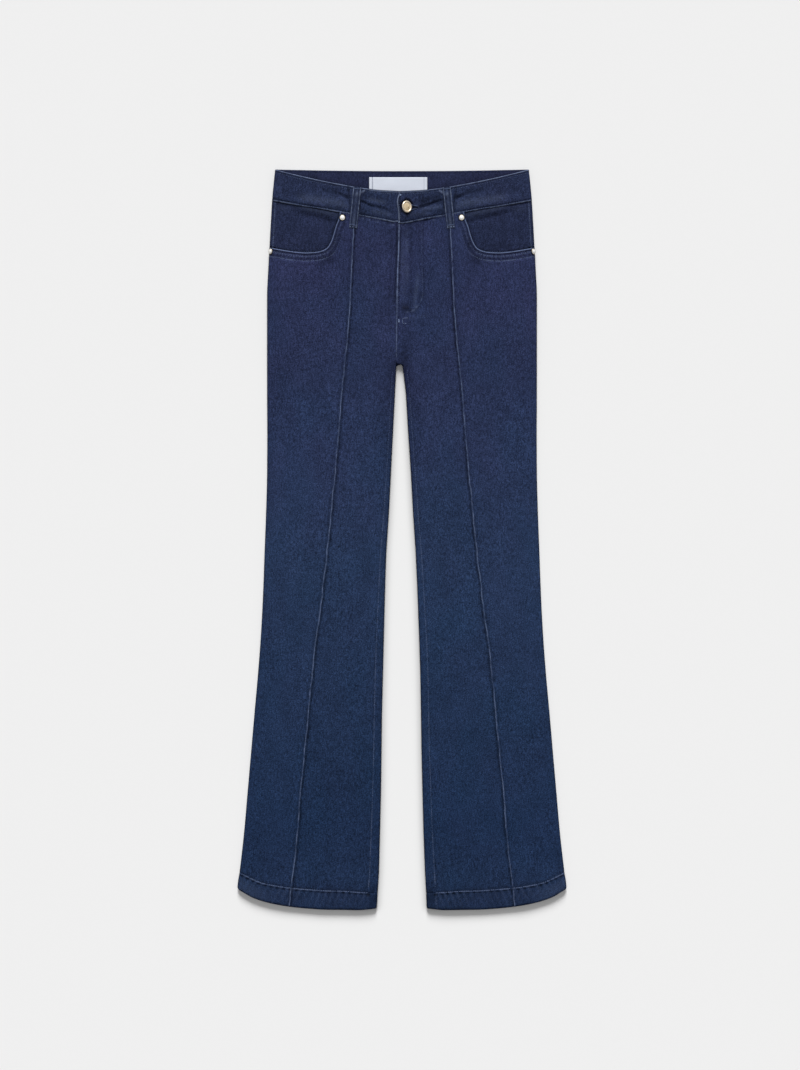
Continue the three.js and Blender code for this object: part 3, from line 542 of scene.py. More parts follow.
def denim(name, wash, patches=1.0, wear_and_highlight_colour=(108, 122, 154), grain=1.0):
    """Ring-spun indigo twill: slubs up and down, a fine diagonal, soft patches, pale ridges that are partly rubbed
    cloth and partly painted highlight, and painted shade in the valleys.
    """
    m, nodes, links = material(name)
    new = nodes.new

    def math_node(op, a, b=None, clamp=False):
        n = new("ShaderNodeMath")
        n.operation = op
        n.use_clamp = clamp
        for k, v in enumerate((a, b)):
            if v is None:
                continue
            if isinstance(v, (int, float)):
                n.inputs[k].default_value = v
            else:
                links.new(v, n.inputs[k])
        return n.outputs[0]

    def noise(scale, detail=2.0, rough=0.5, stretch=(1, 1, 1), turn=0.0):
        mp = new("ShaderNodeMapping")
        mp.inputs["Scale"].default_value = stretch
        mp.inputs["Rotation"].default_value = (0, 0, turn)
        links.new(coord.outputs["Object"], mp.inputs["Vector"])
        n = new("ShaderNodeTexNoise")
        n.inputs["Scale"].default_value = scale
        n.inputs["Detail"].default_value = detail
        n.inputs["Roughness"].default_value = rough
        links.new(mp.outputs[0], n.inputs["Vector"])
        return n.outputs["Fac"]

    def mix(fac, a, b, kind="MIX"):
        n = new("ShaderNodeMix")
        n.data_type = "RGBA"
        n.blend_type = kind
        if isinstance(fac, (int, float)):
            n.inputs["Factor"].default_value = fac
        else:
            links.new(fac, n.inputs["Factor"])
        for k, v in ((6, a), (7, b)):
            if isinstance(v, tuple):
                n.inputs[k].default_value = v
            else:
                links.new(v, n.inputs[k])
        return n.outputs[2]

    def span(v, a, b, c, d):
        n = new("ShaderNodeMapRange")
        n.inputs["From Min"].default_value = a
        n.inputs["From Max"].default_value = b
        n.inputs["To Min"].default_value = c
        n.inputs["To Max"].default_value = d
        links.new(v, n.inputs["Value"])
        return n.outputs[0]

    coord = new("ShaderNodeTexCoord")
    split = new("ShaderNodeSeparateXYZ")
    links.new(coord.outputs["Object"], split.inputs[0])
    wear_and_highlight = new("ShaderNodeAttribute")
    wear_and_highlight.attribute_name = "wear_and_highlight"
    shade = new("ShaderNodeAttribute")
    shade.attribute_name = "shade"

    # from the hip's colour to the leg's
    if isinstance(wash, list):
        place = span(split.outputs["Y"], wash[-1][0], wash[0][0], 0, 1)
        ramp = new("ShaderNodeValToRGB")
        links.new(place, ramp.inputs[0])
        stops = sorted(((h - wash[-1][0]) / (wash[0][0] - wash[-1][0]), c) for h, c in wash)
        for _ in range(len(stops) - 2):
            ramp.color_ramp.elements.new(0.5)
        for element, (at, c) in zip(ramp.color_ramp.elements, stops):
            element.position = at
            element.color = cloth_tone(*c)
        base = ramp.outputs[0]
    else:
        base = new("ShaderNodeRGB").outputs[0]
        base.default_value = cloth_tone(*wash)
    # soft patches of a redder and a greener blue, the redder ones about the hips
    patch = span(noise(9.0, 3.0, 0.55, (1.0, 0.7, 1)), 0.40, 0.68, 0, 1)
    patch = math_node("MULTIPLY", patch, span(split.outputs["Y"], -0.1, 0.32, 0.12, 0.42))
    base = mix(math_node("MULTIPLY", patch, patches), base, mix(1.0, base, (1.26, 0.93, 1.02, 1), "MULTIPLY"))
    teal = span(noise(14.0, 2.0, 0.5, (1.0, 0.6, 1.0), 0.6), 0.42, 0.7, 0, 1)
    base = mix(math_node("MULTIPLY", teal, 0.4 * patches), base, mix(1.0, base, (0.80, 1.07, 1.05, 1), "MULTIPLY"))
    # brightness: broad wash, slubs, grain and twill
    wash = math_node("MULTIPLY", span(noise(6.0, 2.0), 0.3, 0.7, 0.94, 1.06), span(noise(60.0, 2.0, 0.5, (1.0, 0.55, 1.0)), 0.3, 0.7, 0.90, 1.10))
    slub = span(noise(560.0, 1.0, 0.5, (1.0, 0.30, 1.0)), 0.3, 0.7, 1 - 0.26 * grain, 1 + 0.26 * grain)
    weft = span(noise(300.0, 1.0, 0.5, (0.22, 1.0, 1.0)), 0.3, 0.7, 1 - 0.05 * grain, 1 + 0.05 * grain)
    speck = span(noise(760.0, 1.0, 0.6), 0.3, 0.7, 1 - 0.55 * grain, 1 + 0.55 * grain)
    twill = new("ShaderNodeTexWave")
    twill.wave_type = "BANDS"
    twill.bands_direction = "DIAGONAL"
    twill.inputs["Scale"].default_value = 300.0
    twill.inputs["Distortion"].default_value = 0.6
    twill.inputs["Detail"].default_value = 1.0
    tmap = new("ShaderNodeMapping")
    tmap.inputs["Scale"].default_value = (1.0, 0.62, 0.0)
    links.new(coord.outputs["Object"], tmap.inputs["Vector"])
    links.new(tmap.outputs[0], twill.inputs["Vector"])
    diag = span(twill.outputs["Fac"], 0, 1, 0.88, 1.12)
    bright = math_node("MULTIPLY", math_node("MULTIPLY", wash, slub), math_node("MULTIPLY", math_node("MULTIPLY", weft, speck), diag))
    grey = new("ShaderNodeCombineXYZ")
    for k in range(3):
        links.new(bright, grey.inputs[k])
    base = mix(1.0, base, grey.outputs[0], "MULTIPLY")
    # pale ridges, partly rubbed cloth and partly painted highlight, broken up by the grain, and painted shade in the
    # valleys
    pale_share = math_node("MULTIPLY", wear_and_highlight.outputs["Fac"], span(speck, 0.6, 1.4, 0.85, 1.15), clamp=True)
    base = mix(pale_share, base, srgb(*wear_and_highlight_colour))
    deep = math_node("SUBTRACT", 1.0, math_node("MULTIPLY", shade.outputs["Fac"], 0.86), clamp=True)
    dark = new("ShaderNodeCombineXYZ")
    for k in range(3):
        links.new(deep, dark.inputs[k])
    base = mix(1.0, base, dark.outputs[0], "MULTIPLY")

    bump1 = new("ShaderNodeBump")
    bump1.inputs["Strength"].default_value = 0.35
    bump1.inputs["Distance"].default_value = 0.0004
    links.new(math_node("ADD", twill.outputs["Fac"], math_node("MULTIPLY", slub, 1.5)), bump1.inputs["Height"])
    bump2 = new("ShaderNodeBump")
    bump2.inputs["Strength"].default_value = 0.4
    bump2.inputs["Distance"].default_value = 0.0008
    links.new(noise(150.0, 3.0, 0.6), bump2.inputs["Height"])
    links.new(bump1.outputs[0], bump2.inputs["Normal"])

    shader = new("ShaderNodeBsdfPrincipled")
    links.new(base, shader.inputs["Base Color"])
    links.new(bump2.outputs[0], shader.inputs["Normal"])
    shader.inputs["Roughness"].default_value = 0.92
    shader.inputs["Specular IOR Level"].default_value = 0.05
    out = new("ShaderNodeOutputMaterial")
    links.new(shader.outputs[0], out.inputs[0])
    return m


DENIM = denim("denim", WASH)
DENIM_BAND = denim("denim_band", (41.5, 50, 75.5), 0.6, (120, 132, 160))
DENIM_DARK = denim("denim_facing", (38, 45, 69), 0.5)
DENIM_INSIDE = denim("denim_inside", (40, 45, 70), 0.3, grain=0.7)


def thread(name, colour):
    m, nodes, links = material(name)
    coord = nodes.new("ShaderNodeTexCoord")
    n = nodes.new("ShaderNodeTexNoise")
    n.inputs["Scale"].default_value = 260.0
    n.inputs["Detail"].default_value = 2.0
    links.new(coord.outputs["Object"], n.inputs["Vector"])
    ramp = nodes.new("ShaderNodeMix")
    ramp.data_type = "RGBA"
    links.new(n.outputs["Fac"], ramp.inputs["Factor"])
    ramp.inputs[6].default_value = srgb(*[int(c * 0.7) for c in colour])
    ramp.inputs[7].default_value = srgb(*[min(255, int(c * 1.25)) for c in colour])
    ply = nodes.new("ShaderNodeTexWave")
    ply.inputs["Scale"].default_value = 900.0
    links.new(coord.outputs["Object"], ply.inputs["Vector"])
    bump = nodes.new("ShaderNodeBump")
    bump.inputs["Strength"].default_value = 0.3
    bump.inputs["Distance"].default_value = 0.0002
    links.new(ply.outputs["Fac"], bump.inputs["Height"])
    s = nodes.new("ShaderNodeBsdfPrincipled")
    s.inputs["Roughness"].default_value = 0.7
    s.inputs["Specular IOR Level"].default_value = 0.2
    links.new(ramp.outputs[2], s.inputs["Base Color"])
    links.new(bump.outputs[0], s.inputs["Normal"])
    out = nodes.new("ShaderNodeOutputMaterial")
    links.new(s.outputs[0], out.inputs[0])
    return m


THREAD = thread("thread", (88, 102, 134))
THREAD_DARK = thread("thread_dark", (30, 35, 55))
THREAD_MID = thread("thread_mid", (62, 73, 101))
THREAD_PALE = thread("thread_pale", (128, 144, 178))


def metal(name, colour, roughness, metallic=0.62):
    m, nodes, links = material(name)
    coord = nodes.new("ShaderNodeTexCoord")
    n = nodes.new("ShaderNodeTexNoise")
    n.inputs["Scale"].default_value = 700.0
    n.inputs["Detail"].default_value = 3.0
    links.new(coord.outputs["Object"], n.inputs["Vector"])
    tone = nodes.new("ShaderNodeMix")
    tone.data_type = "RGBA"
    links.new(n.outputs["Fac"], tone.inputs["Factor"])
    tone.inputs[6].default_value = tuple(c * 0.82 for c in colour[:3]) + (1,)
    tone.inputs[7].default_value = tuple(min(1, c * 1.12) for c in colour[:3]) + (1,)
    bump = nodes.new("ShaderNodeBump")
    bump.inputs["Strength"].default_value = 0.25
    bump.inputs["Distance"].default_value = 0.0002
    links.new(n.outputs["Fac"], bump.inputs["Height"])
    s = nodes.new("ShaderNodeBsdfPrincipled")
    s.inputs["Metallic"].default_value = metallic
    s.inputs["Roughness"].default_value = roughness
    links.new(tone.outputs[2], s.inputs["Base Color"])
    links.new(bump.outputs[0], s.inputs["Normal"])
    out = nodes.new("ShaderNodeOutputMaterial")
    links.new(s.outputs[0], out.inputs[0])
    return m


GOLD_RIM = metal("gold_rim", srgb(238, 222, 198), 0.42)
GOLD_FACE = metal("gold_face", srgb(250, 224, 186), 0.5)
RIVET_RIM = metal("rivet_rim", srgb(196, 186, 166), 0.42)
# The rivet's cap is nearly white: a painted highlight that stands in for the glint on its domed top.
RIVET_PAINTED_GLINT = metal("rivet_painted_glint", srgb(247, 245, 242), 0.45, 0.25)


def woven():
    m, nodes, links = material("label_weave")
    coord = nodes.new("ShaderNodeTexCoord")
    waves = []
    for direction, scale in (("X", 620.0), ("Y", 520.0)):
        w = nodes.new("ShaderNodeTexWave")
        w.bands_direction = direction
        w.inputs["Scale"].default_value = scale
        w.inputs["Distortion"].default_value = 0.4
        links.new(coord.outputs["Object"], w.inputs["Vector"])
        waves.append(w)
    add = nodes.new("ShaderNodeMath")
    add.operation = "ADD"
    links.new(waves[0].outputs["Fac"], add.inputs[0])
    links.new(waves[1].outputs["Fac"], add.inputs[1])
    tone = nodes.new("ShaderNodeMix")
    tone.data_type = "RGBA"
    half = nodes.new("ShaderNodeMath")
    half.operation = "MULTIPLY"
    half.inputs[1].default_value = 0.5
    links.new(add.outputs[0], half.inputs[0])
    links.new(half.outputs[0], tone.inputs["Factor"])
    tone.inputs[6].default_value = srgb(190, 196, 210)
    tone.inputs[7].default_value = srgb(216, 221, 231)
    shade = nodes.new("ShaderNodeAttribute")
    shade.attribute_name = "shade"
    dark = nodes.new("ShaderNodeMix")
    dark.data_type = "RGBA"
    links.new(shade.outputs["Fac"], dark.inputs["Factor"])
    links.new(tone.outputs[2], dark.inputs[6])
    dark.inputs[7].default_value = srgb(78, 84, 108)
    bump = nodes.new("ShaderNodeBump")
    bump.inputs["Strength"].default_value = 0.3
    bump.inputs["Distance"].default_value = 0.0002
    links.new(add.outputs[0], bump.inputs["Height"])
    s = nodes.new("ShaderNodeBsdfPrincipled")
    s.inputs["Roughness"].default_value = 0.55
    s.inputs["Specular IOR Level"].default_value = 0.3
    links.new(dark.outputs[2], s.inputs["Base Color"])
    links.new(bump.outputs[0], s.inputs["Normal"])
    out = nodes.new("ShaderNodeOutputMaterial")
    links.new(s.outputs[0], out.inputs[0])
    return m


WOVEN = woven()

# ------------------------------------------------------------------ relief that the panels share
# Soft folds of the cloth, as rows: from, to (X, Y on the garment), half width, depth (negative: a ridge).
FOLDS = [
    # fly: soft folds beside the buttoned front
    (4.5, 452, 8.5, 362, 2.2, -0.45),
    (13.5, 448, 15.0, 352, 3.0, 0.55),
    (21.5, 390, 20.0, 340, 3.4, -0.5),
    (-2.5, 455, -3.0, 330, 1.6, 0.35),
    (-22, 440, -20, 352, 5.0, 0.3),
    (36, 430, 41, 350, 6.0, 0.3),
    # hip and thigh: faint drags, uneven
    (-118, 366, -92, 322, 9.0, 0.28),
    (124, 372, 96, 318, 10.0, 0.25),
    (-60, 300, -26, 268, 8.0, 0.35),
    (57, 306, 20, 266, 9.0, 0.32),
    (-150, 300, -112, 262, 11.0, 0.22),
    (146, 286, 104, 252, 12.0, 0.25),
    # knee and below
    (-64, 8, -44, -40, 14.0, 0.22),
    (70, -10, 52, -66, 15.0, 0.2),
    (-180, -190, -166, -262, 12.0, 0.2),
    (188, -240, 172, -300, 13.0, 0.22),
    (-96, -330, -104, -420, 14.0, 0.2),
    (88, -368, 96, -446, 13.0, 0.24),
]


def fold_relief(X, y, rows):
    total = np.zeros_like(X)
    for k, (x0, y0, x1, y1, width, depth) in enumerate(rows):
        dx, dy = x1 - x0, y1 - y0
        length = math.hypot(dx, dy)
        u = ((X - x0) * dx + (y - y0) * dy) / length**2
        v = (-(X - x0) * dy + (y - y0) * dx) / length
        v = v + width * 0.5 * noise1(u * 3 + k * 7, 11)
        fade = ease(-0.18, 0.2, u) * (1 - ease(0.75, 1.15, u))
        total -= depth * fade * (bell(v, width) - 0.45 * bell(v - 1.9 * width, width))
    return total


def breathe(X, y):
    """Cloth laid by hand is nowhere dead flat."""
    return 0.32 * noise2(X / 46 + 9, y / 83, 21) + 0.12 * noise2(X / 17, y / 31 + 4, 22) + 0.035 * noise2(X / 5, y / 7, 23)


def ticks(along, pitch, seed):
    """Puckers between stitches, about a pitch apart, uneven."""
    return np.sin(2 * math.pi * (along / pitch + 0.35 * noise1(along / (2.7 * pitch), seed))) * (0.75 + 0.4 * noise1(along / (1.9 * pitch), seed + 1))


# lines in flat coordinates, made once for each side where they differ
YS = np.linspace(-545, 540, 1400)
scoop_d = np.linspace(SCOOP["d"][0] - 0.4, 194.5, 400)
SCOOP_LINE = Line(np.column_stack([scoop_d, scoop(scoop_d)]))
hem_d = np.linspace(26, 246, 300)
HEM_LINE = Line(np.column_stack([hem_d, hem_stitched(hem_d)]))
j_line = np.array([(28.9, 461), (28.9, 425), (29.3, 395), (30.0, 374), (30.3, 360), (28.0, 350), (23.8, 342.5), (18.9, 336.9), (13.6, 333.2), (7.0, 332.2)])
J_LINE = Line(np.column_stack([smooth(range(10), j_line[:, 0], np.linspace(0, 9, 200)), smooth(range(10), j_line[:, 1], np.linspace(0, 9, 200))]))
pin_ys = np.linspace(-541, 468, 2400)
PIN_LINE = Line(np.column_stack([pin_at(pin_ys), pin_ys]))


def hem_relief(q, y, x, seed, depth=1.0):
    d, s = HEM_LINE.near(q, y, 26)
    # d is positive above the stitches, negative in the hem
    below = (d < 0) & (d > -26)
    pucker = 0.26 * ticks(s + 0.35 * d, 9.5, seed) * np.where(below, np.exp(d / 8), np.exp(-np.abs(d) / 2.2))
    return depth * (-0.55 * bell(d, 0.9) + np.where(np.abs(d) < 26, pucker, 0) + np.where(below, 0.25 * (1 - np.exp(d / 2)), 0))


def hem_paint(q, y, seed):
    d, s = HEM_LINE.near(q, y, 26)
    t = ticks(s + 0.35 * d, 9.5, seed)
    below = (d < 0) & (d > -26)
    # painted shade in the groove under the row, beside it above and in the puckers' hollows below; the pale row is
    # rubbed cloth and thread, and the pale pucker crests are painted highlight
    shade = 0.84 * bell(d + 2.0, 1.15) * np.clip(0.82 + 0.4 * t, 0, 1) + 0.42 * bell(d - 2.6, 1.2) * np.clip(0.7 + 0.5 * noise1(s / 6, seed + 6), 0, 1)
    shade = shade + np.where(below, 0.03 + 0.24 * np.clip(t, 0, 1) * np.exp(d / 8), 0)
    wear_and_highlight = 0.38 * bell(d, 0.85) * np.clip(0.5 - 0.4 * t + 0.8 * noise1(s / 4.4, seed + 5), 0, 1)
    wear_and_highlight = np.maximum(wear_and_highlight, np.where(below, 0.11 * np.clip(-t, 0, 1) * (1 - np.exp(d / 2)) * np.exp(d / 16), 0))
    return wear_and_highlight, shade


def rim_roll(dist, depth=0.5, width=1.1):
    """A sewn or folded edge rolls down over its last millimetre."""
    s = np.clip(dist / width, 0, 1)
    return -depth * (1 - s) ** 2


# ------------------------------------------------------------------ front panels
def corner(edge_of, y_of, y_start):
    y = y_start
    for _ in range(12):
        y = float(y_of(edge_of(np.array([y]))[0]))
    return y


def polyline(xs, ys):
    return np.column_stack([np.asarray(xs, float), np.asarray(ys, float)])


FINE = (-3.6, -2.4, -1.5, -0.8, 0.0, 0.8, 1.5, 2.4, 3.6)


def build_front_inner(side):
    seed = 40 if side > 0 else 60
    word = "left" if side > 0 else "right"
    lay = front_lay(side, inner=True)
    lo = lambda y: lay.ends(y)[0]
    hi = lambda y: pin_at(y) - 0.1
    below = lambda q: hem_edge(np.maximum(q, 30.0))
    above = lambda q: band_seam(q) + 0.6 - dip(q)
    y_bl, y_br = corner(lo, below, -538), corner(hi, below, -536)
    y_tl, y_tr = corner(lo, above, 464), corner(hi, above, 476)
    left_y = np.linspace(y_tl, y_bl, 1500)
    right_y = np.linspace(y_br, y_tr, 1500)
    bq = np.linspace(lo(np.array([y_bl]))[0], hi(np.array([y_br]))[0], 200)
    tq = np.linspace(hi(np.array([y_tr]))[0], lo(np.array([y_tl]))[0], 120)
    edges = [polyline(bq, below(bq)), polyline(hi(right_y), right_y), polyline(tq, above(tq)), polyline(lo(left_y), left_y)]
    inseam_y = np.linspace(-509, 250, 600)
    inseam_q = lo(inseam_y) + 1.5 + np.interp(inseam_y, INSEAM["y"], INSEAM["off"])
    inseam = Line(polyline(inseam_q, inseam_y))
    centre_y = np.linspace(y_tl, 262, 500)
    centre = Line(polyline(lo(centre_y), centre_y))
    features = [
        (edges[1], (1.0, 1.7, 2.6, 3.8), 2.0),
        (edges[3], (1.0, 1.7, 2.6, 3.8, 5.2), 2.0),
        (edges[2], (1.4, 2.2, 3.2), 2.0),
        (inseam.p, (-1.6, -0.8, 0, 0.8, 1.6), 2.6),
        (HEM_LINE.p[(HEM_LINE.p[:, 0] < 170)], FINE, 1.3),
    ]
    if side > 0:
        features.append((J_LINE.p, (-2.0, -1.0, 0, 1.0, 2.0), 1.8))
    co, tri, area = fill(edges, 2.7, features)

    def relief(q, y, x):
        X = side * x
        pin = pin_at(y) - q
        r = breathe(X, y) * ease(0, 6, q - lo(y)) + fold_relief(X, y, FOLDS)
        r += -0.75 * bell(pin, 1.5) + 0.12 * bell(pin - 5, 3) + 0.09 * ticks(y, 11, seed) * bell(pin - 2.5, 3)
        r += hem_relief(q, y, x, seed)
        d, s = inseam.near(q, y, 8)
        r += -0.28 * bell(d, 1.0) + 0.10 * ticks(s, 8.0, seed + 2) * bell(d, 3)
        top = above(q) - y
        r += -0.5 * bell(top, 1.6) + 0.16 * ticks(q, 7.5, seed + 4) * bell(top - 3, 3.2)
        if side > 0:
            d, s = J_LINE.near(q, y, 8)
            r += -0.4 * bell(d, 1.0) + 0.10 * ticks(s, 7, seed + 6) * bell(d, 2.6)
            c = q - lo(y)
            fly = ease(262, 300, y)
            r += fly * (0.45 * bell(c - 0.9, 1.1) - 0.4 * bell(c - 3.0, 1.0) + 0.08 * ticks(y, 9, seed + 8) * bell(c - 3, 3))
            r += fly * rim_roll(c, 0.5, 0.8)
        else:
            c = q - lo(y)
            r += ease(262, 300, y) * (-0.6 * bell(c, 1.3))
        r += rim_roll(y - below(q), 0.7, 1.3) * (lie("curl", y))
        return np.clip(r, -1.1, 1.6)

    def paint(q, y, x):
        X = side * x
        pin = pin_at(y) - q
        # painted shade in the valley where the raised front seam laps over this panel
        shade = 0.74 * bell(pin - 2.5, 1.35) * (0.85 + 0.3 * noise1(y / 6, seed + 1))
        wear_and_highlight = np.zeros_like(q)
        w, s_ = hem_paint(q, y, seed)
        # the hem's row ends at the inside seam, and the cloth beyond it is darker
        past = q - lo(y) - 1.5 - np.interp(y, INSEAM["y"], INSEAM["off"])
        row_y = hem_stitched(np.maximum(q, 30))
        w, s_ = w * ease(-1.0, 1.0, past), s_ * (0.4 + 0.6 * ease(-1.0, 1.0, past))
        wear_and_highlight, shade = np.maximum(wear_and_highlight, w), np.maximum(shade, s_)
        low = 1 - ease(-1.5, 0.5, y - row_y)
        wear_and_highlight = np.maximum(wear_and_highlight, 0.20 * low * bell(past, 0.8) * np.clip(0.6 + 0.8 * noise1(y / 3, seed + 7), 0, 1))
        shade = np.maximum(shade, 0.40 * low * bell(past - 2.2, 1.1))
        shade = np.maximum(shade, 0.34 * (1 - ease(-3.0, -0.5, past)) * (1 - ease(4, 20, y - row_y)))
        # painted shade where the cut edges turn under, and a dark painted knot of shade where the hem's row meets the
        # inside seam
        shade = np.maximum(shade, 0.52 * (1 - ease(0.4, 2.4, y - below(q))) + 0.34 * (1 - ease(0.8, 2.8, q - lo(y))) * (1 - ease(-430, -330, y)))
        shade = np.maximum(shade, 1.0 * spot(past, y - row_y, -1.2, -2.4, 3.2, 2.8))
        d, s = inseam.near(q, y, 8)
        foot = 1 - ease(-505, -470, y)
        wear_and_highlight = np.maximum(wear_and_highlight, (0.13 + 0.12 * foot) * bell(d, 0.8) * np.clip(0.55 + 0.9 * noise1(s / 5, seed + 2), 0, 1) * (1 - ease(-40, 160, y)))
        shade = np.maximum(shade, 0.14 * bell(d + 1.6, 1.2) * (1 - ease(60, 250, y)) + foot * (0.34 * bell(d - 2.2, 1.2) + 0.34 * bell(d + 2.4, 1.3)))
        edge = q - lo(y)
        # painted shade where the inside of the thigh turns away, darkest just under the fly; a few soft darker patches
        # down the leg and a faint random tone
        thigh = np.interp(y, [-40, 60, 120, 165, 195, 215, 245, 262, 285], [0, 0.06, 0.11, 0.17, 0.22, 0.27, 0.29, 0.22, 0])
        away = thigh * (1 - ease(9, 26, edge)) + 0.14 * spot(edge, y, 20.0, 180.0, 4.0, 22.0)
        if side > 0:
            away = away + 0.32 * spot(q, y, 4.0, 273.0, 8.0, 34.0) + 0.17 * spot(q, y, 53.0, -60.0, 18.0, 48.0) + 0.10 * spot(q, y, 58.0, -10.0, 9.0, 25.0) + 0.11 * spot(q, y, 50.0, -180.0, 15.0, 42.0) + 0.07 * spot(q, y, 86.0, -440.0, 26.0, 30.0)
        else:
            away = away + 0.10 * spot(q, y, 56.0, -62.0, 16.0, 42.0) + 0.07 * spot(q, y, 54.0, -22.0, 13.0, 34.0)
        away = away + 0.08 * noise2(X / 34 + 3, y / 60, seed + 30) * ease(0, 30, edge)
        # painted shade on the curled inner edge
        rolled = np.interp(y, [225, 244, 256], [0.72, 0.42, 0.34])
        shade = np.maximum(shade, lie("curl", y) * (rolled * (1 - ease(1.2, 4.4, edge)) + 0.08 * (1 - ease(3, 14, edge))))
        shade = np.maximum(shade, 0) + np.clip(away, 0, 1) * (1 - shade)
        # painted shade at the hem's inner corner, by the seam, where it is drawn up
        shade = np.maximum(shade, 0.55 * spot(q, y, float(lo(np.array([-520.0]))[0]) + 5.0, -524.0, 7.0, 8.0))
        top = above(q) - y
        # painted shadow just below the waistband's lower edge, and a faint pale dashed row under it
        shade = np.maximum(shade, 0.50 * bell(top - 2.6, 1.2))
        wear_and_highlight = np.maximum(wear_and_highlight, 0.24 * bell(top - 4.7, 0.8) * np.clip(0.5 + noise1(q / 2.6, seed + 3), 0, 1))
        c = q - lo(y)
        fly = ease(262, 300, y)
        if side > 0:
            # the fly's folded edge: a pale line, partly rubbed cloth and partly painted highlight, with painted shade
            # in the groove beside it
            strong = np.interp(y, [262, 285, 312, 322, 340, 352, 372, 440], [0.36, 0.62, 0.60, 0.44, 0.46, 0.80, 1.0, 1.0])
            wear_and_highlight = np.maximum(wear_and_highlight, ease(258, 274, y) * strong * bell(c - 0.8, np.interp(y, [325, 365], [0.66, 0.85])) * np.clip(0.86 + 0.5 * noise1(y / 2.6, seed + 4), 0, 1))
            deep_by = np.interp(y, [290, 330, 350, 380, 400, 425, 455], [0.30, 0.40, 0.52, 0.78, 0.86, 0.72, 0.50])
            shade = np.maximum(shade, fly * deep_by * bell(c - 3.4, 1.3) * np.clip(0.85 + 0.4 * noise1(y / 8, seed + 5), 0, 1))
            # painted shade and painted highlight along upright folds in the soft part of the fly
            up = ease(328, 352, y) * (1 - ease(440, 462, y))
            shade = np.maximum(shade, 0.42 * up * bell(q - 13.6 - 1.2 * noise1(y / 22, 61), 2.3) * np.clip(0.85 + 0.4 * noise1(y / 15, 62), 0, 1))
            shade = np.maximum(shade, 0.16 * up * bell(q - 25.0 - 1.0 * noise1(y / 18, 63), 1.8))
            wear_and_highlight = np.maximum(wear_and_highlight, 0.12 * up * ease(366, 388, y) * bell(q - 7.4 - 0.8 * noise1(y / 20, 64), 2.0) * np.clip(0.7 + 0.6 * noise1(y / 9, 65), 0, 1))
            wear_and_highlight = np.maximum(wear_and_highlight, 0.11 * stroke(q, y, 23.5, 386.0, 18.5, 343.0, 2.6, 0.3))
            # painted highlight on small puckers across, between the edge row and the folds
            wear_and_highlight = np.maximum(wear_and_highlight, 0.09 * up * bell(q - 2.6, 4.4) * np.clip(ticks(y + 0.5 * q, 6.2, seed + 14), 0, 1))
            # the J row: pale marks along it, painted shade beside it and under the foot of its curve
            d, s = J_LINE.near(q, y, 8)
            low_j = 1 - ease(345, 362, y)
            wear_and_highlight = np.maximum(wear_and_highlight, (0.05 + 0.20 * low_j) * bell(d, 0.9) * np.clip(0.4 + 1.2 * noise1(s / 4, seed + 6), 0, 1))
            shade = np.maximum(shade, 0.40 * bell(d - 2.4, 1.5) + 0.16 * bell(d + 2.4, 1.2))
            shade = np.maximum(shade, 0.42 * spot(q, y, 30.0, 357.5, 8.0, 8.0))
            # painted shadow on the fly's left side by the folded edge; its foot is drawn together, with painted shade
            # in the gathered cloth, painted shade at its top under the band, and a few pale marks near the J's foot
            shade = np.maximum(shade, fly * 0.16 * bell(c - 17, 4.5) * ease(330, 360, y) * (1 - ease(440, 462, y)))
            shade = np.maximum(shade, 0.66 * spot(q, y, 5.2, 338.8, 8.5, 7.4))
            shade = np.maximum(shade, 0.34 * spot(q, y, 11.5, 338.0, 5.0, 7.0))
            shade = np.maximum(shade, 0.16 * spot(q, y, 39.0, 377.0, 7.0, 16.0) + 0.12 * spot(q, y, 10.0, 317.0, 8.0, 7.0))
            shade = np.maximum(shade, (0.17 + 0.16 * bell(q - 12, 4) + 0.10 * bell(q - 24, 3)) * ease(430, 447, y) * (1 - ease(28, 34, q)))
            wear_and_highlight = np.maximum(wear_and_highlight, 0.07 * spot(q, y, 1.0, 408.0, 4.0, 34.0))
            wear_and_highlight = np.maximum(wear_and_highlight, 0.36 * spot(q, y, 20.6, 339.6, 1.9, 2.0) + 0.34 * spot(q, y, 16.2, 334.6, 2.2, 1.5))
            wear_and_highlight = np.maximum(wear_and_highlight, 0.04 * stroke(q, y, 6.0, 322.0, 38.0, 327.0, 2.0))
        else:
            # painted shade beside the lapped fly edge
            beside = np.interp(y, [300, 335, 355, 380, 410, 455], [0.08, 0.14, 0.46, 0.56, 0.64, 0.70])
            shade = np.maximum(shade, fly * beside * bell(c - 2.0, 1.9))
            # painted shade along two upright lines that press through from the fly's layers underneath, and a soft
            # patch of it
            shade = np.maximum(shade, 0.26 * np.maximum(stroke(q, y, 15.4, 455.0, 16.5, 385.0, 2.0, 0.1), stroke(q, y, 16.5, 388.0, 19.6, 342.0, 2.2, 0.1)))
            shade = np.maximum(shade, 0.20 * stroke(q, y, 19.4, 350.0, 18.6, 308.0, 2.6, 0.2) + 0.08 * spot(q, y, 24.0, 355.0, 9.0, 40.0))
        if side < 0:
            wear_and_highlight = np.maximum(wear_and_highlight, (1 - ease(0, 1.2, np.abs(c))) * fly * 0.05)
        return np.clip(wear_and_highlight, 0, 1), np.clip(shade, 0, 1)

    thick = lambda x, y: CLOTH + (HEM - CLOTH) * (1 - ease(-0.8, 0.8, y - hem_stitched(x)))
    return cloth(
        "panel_front_inner_" + word, "front_inner_" + word, lay, side, co, tri, area, relief, paint, thick,
        DENIM,
    ), co, edges, inseam


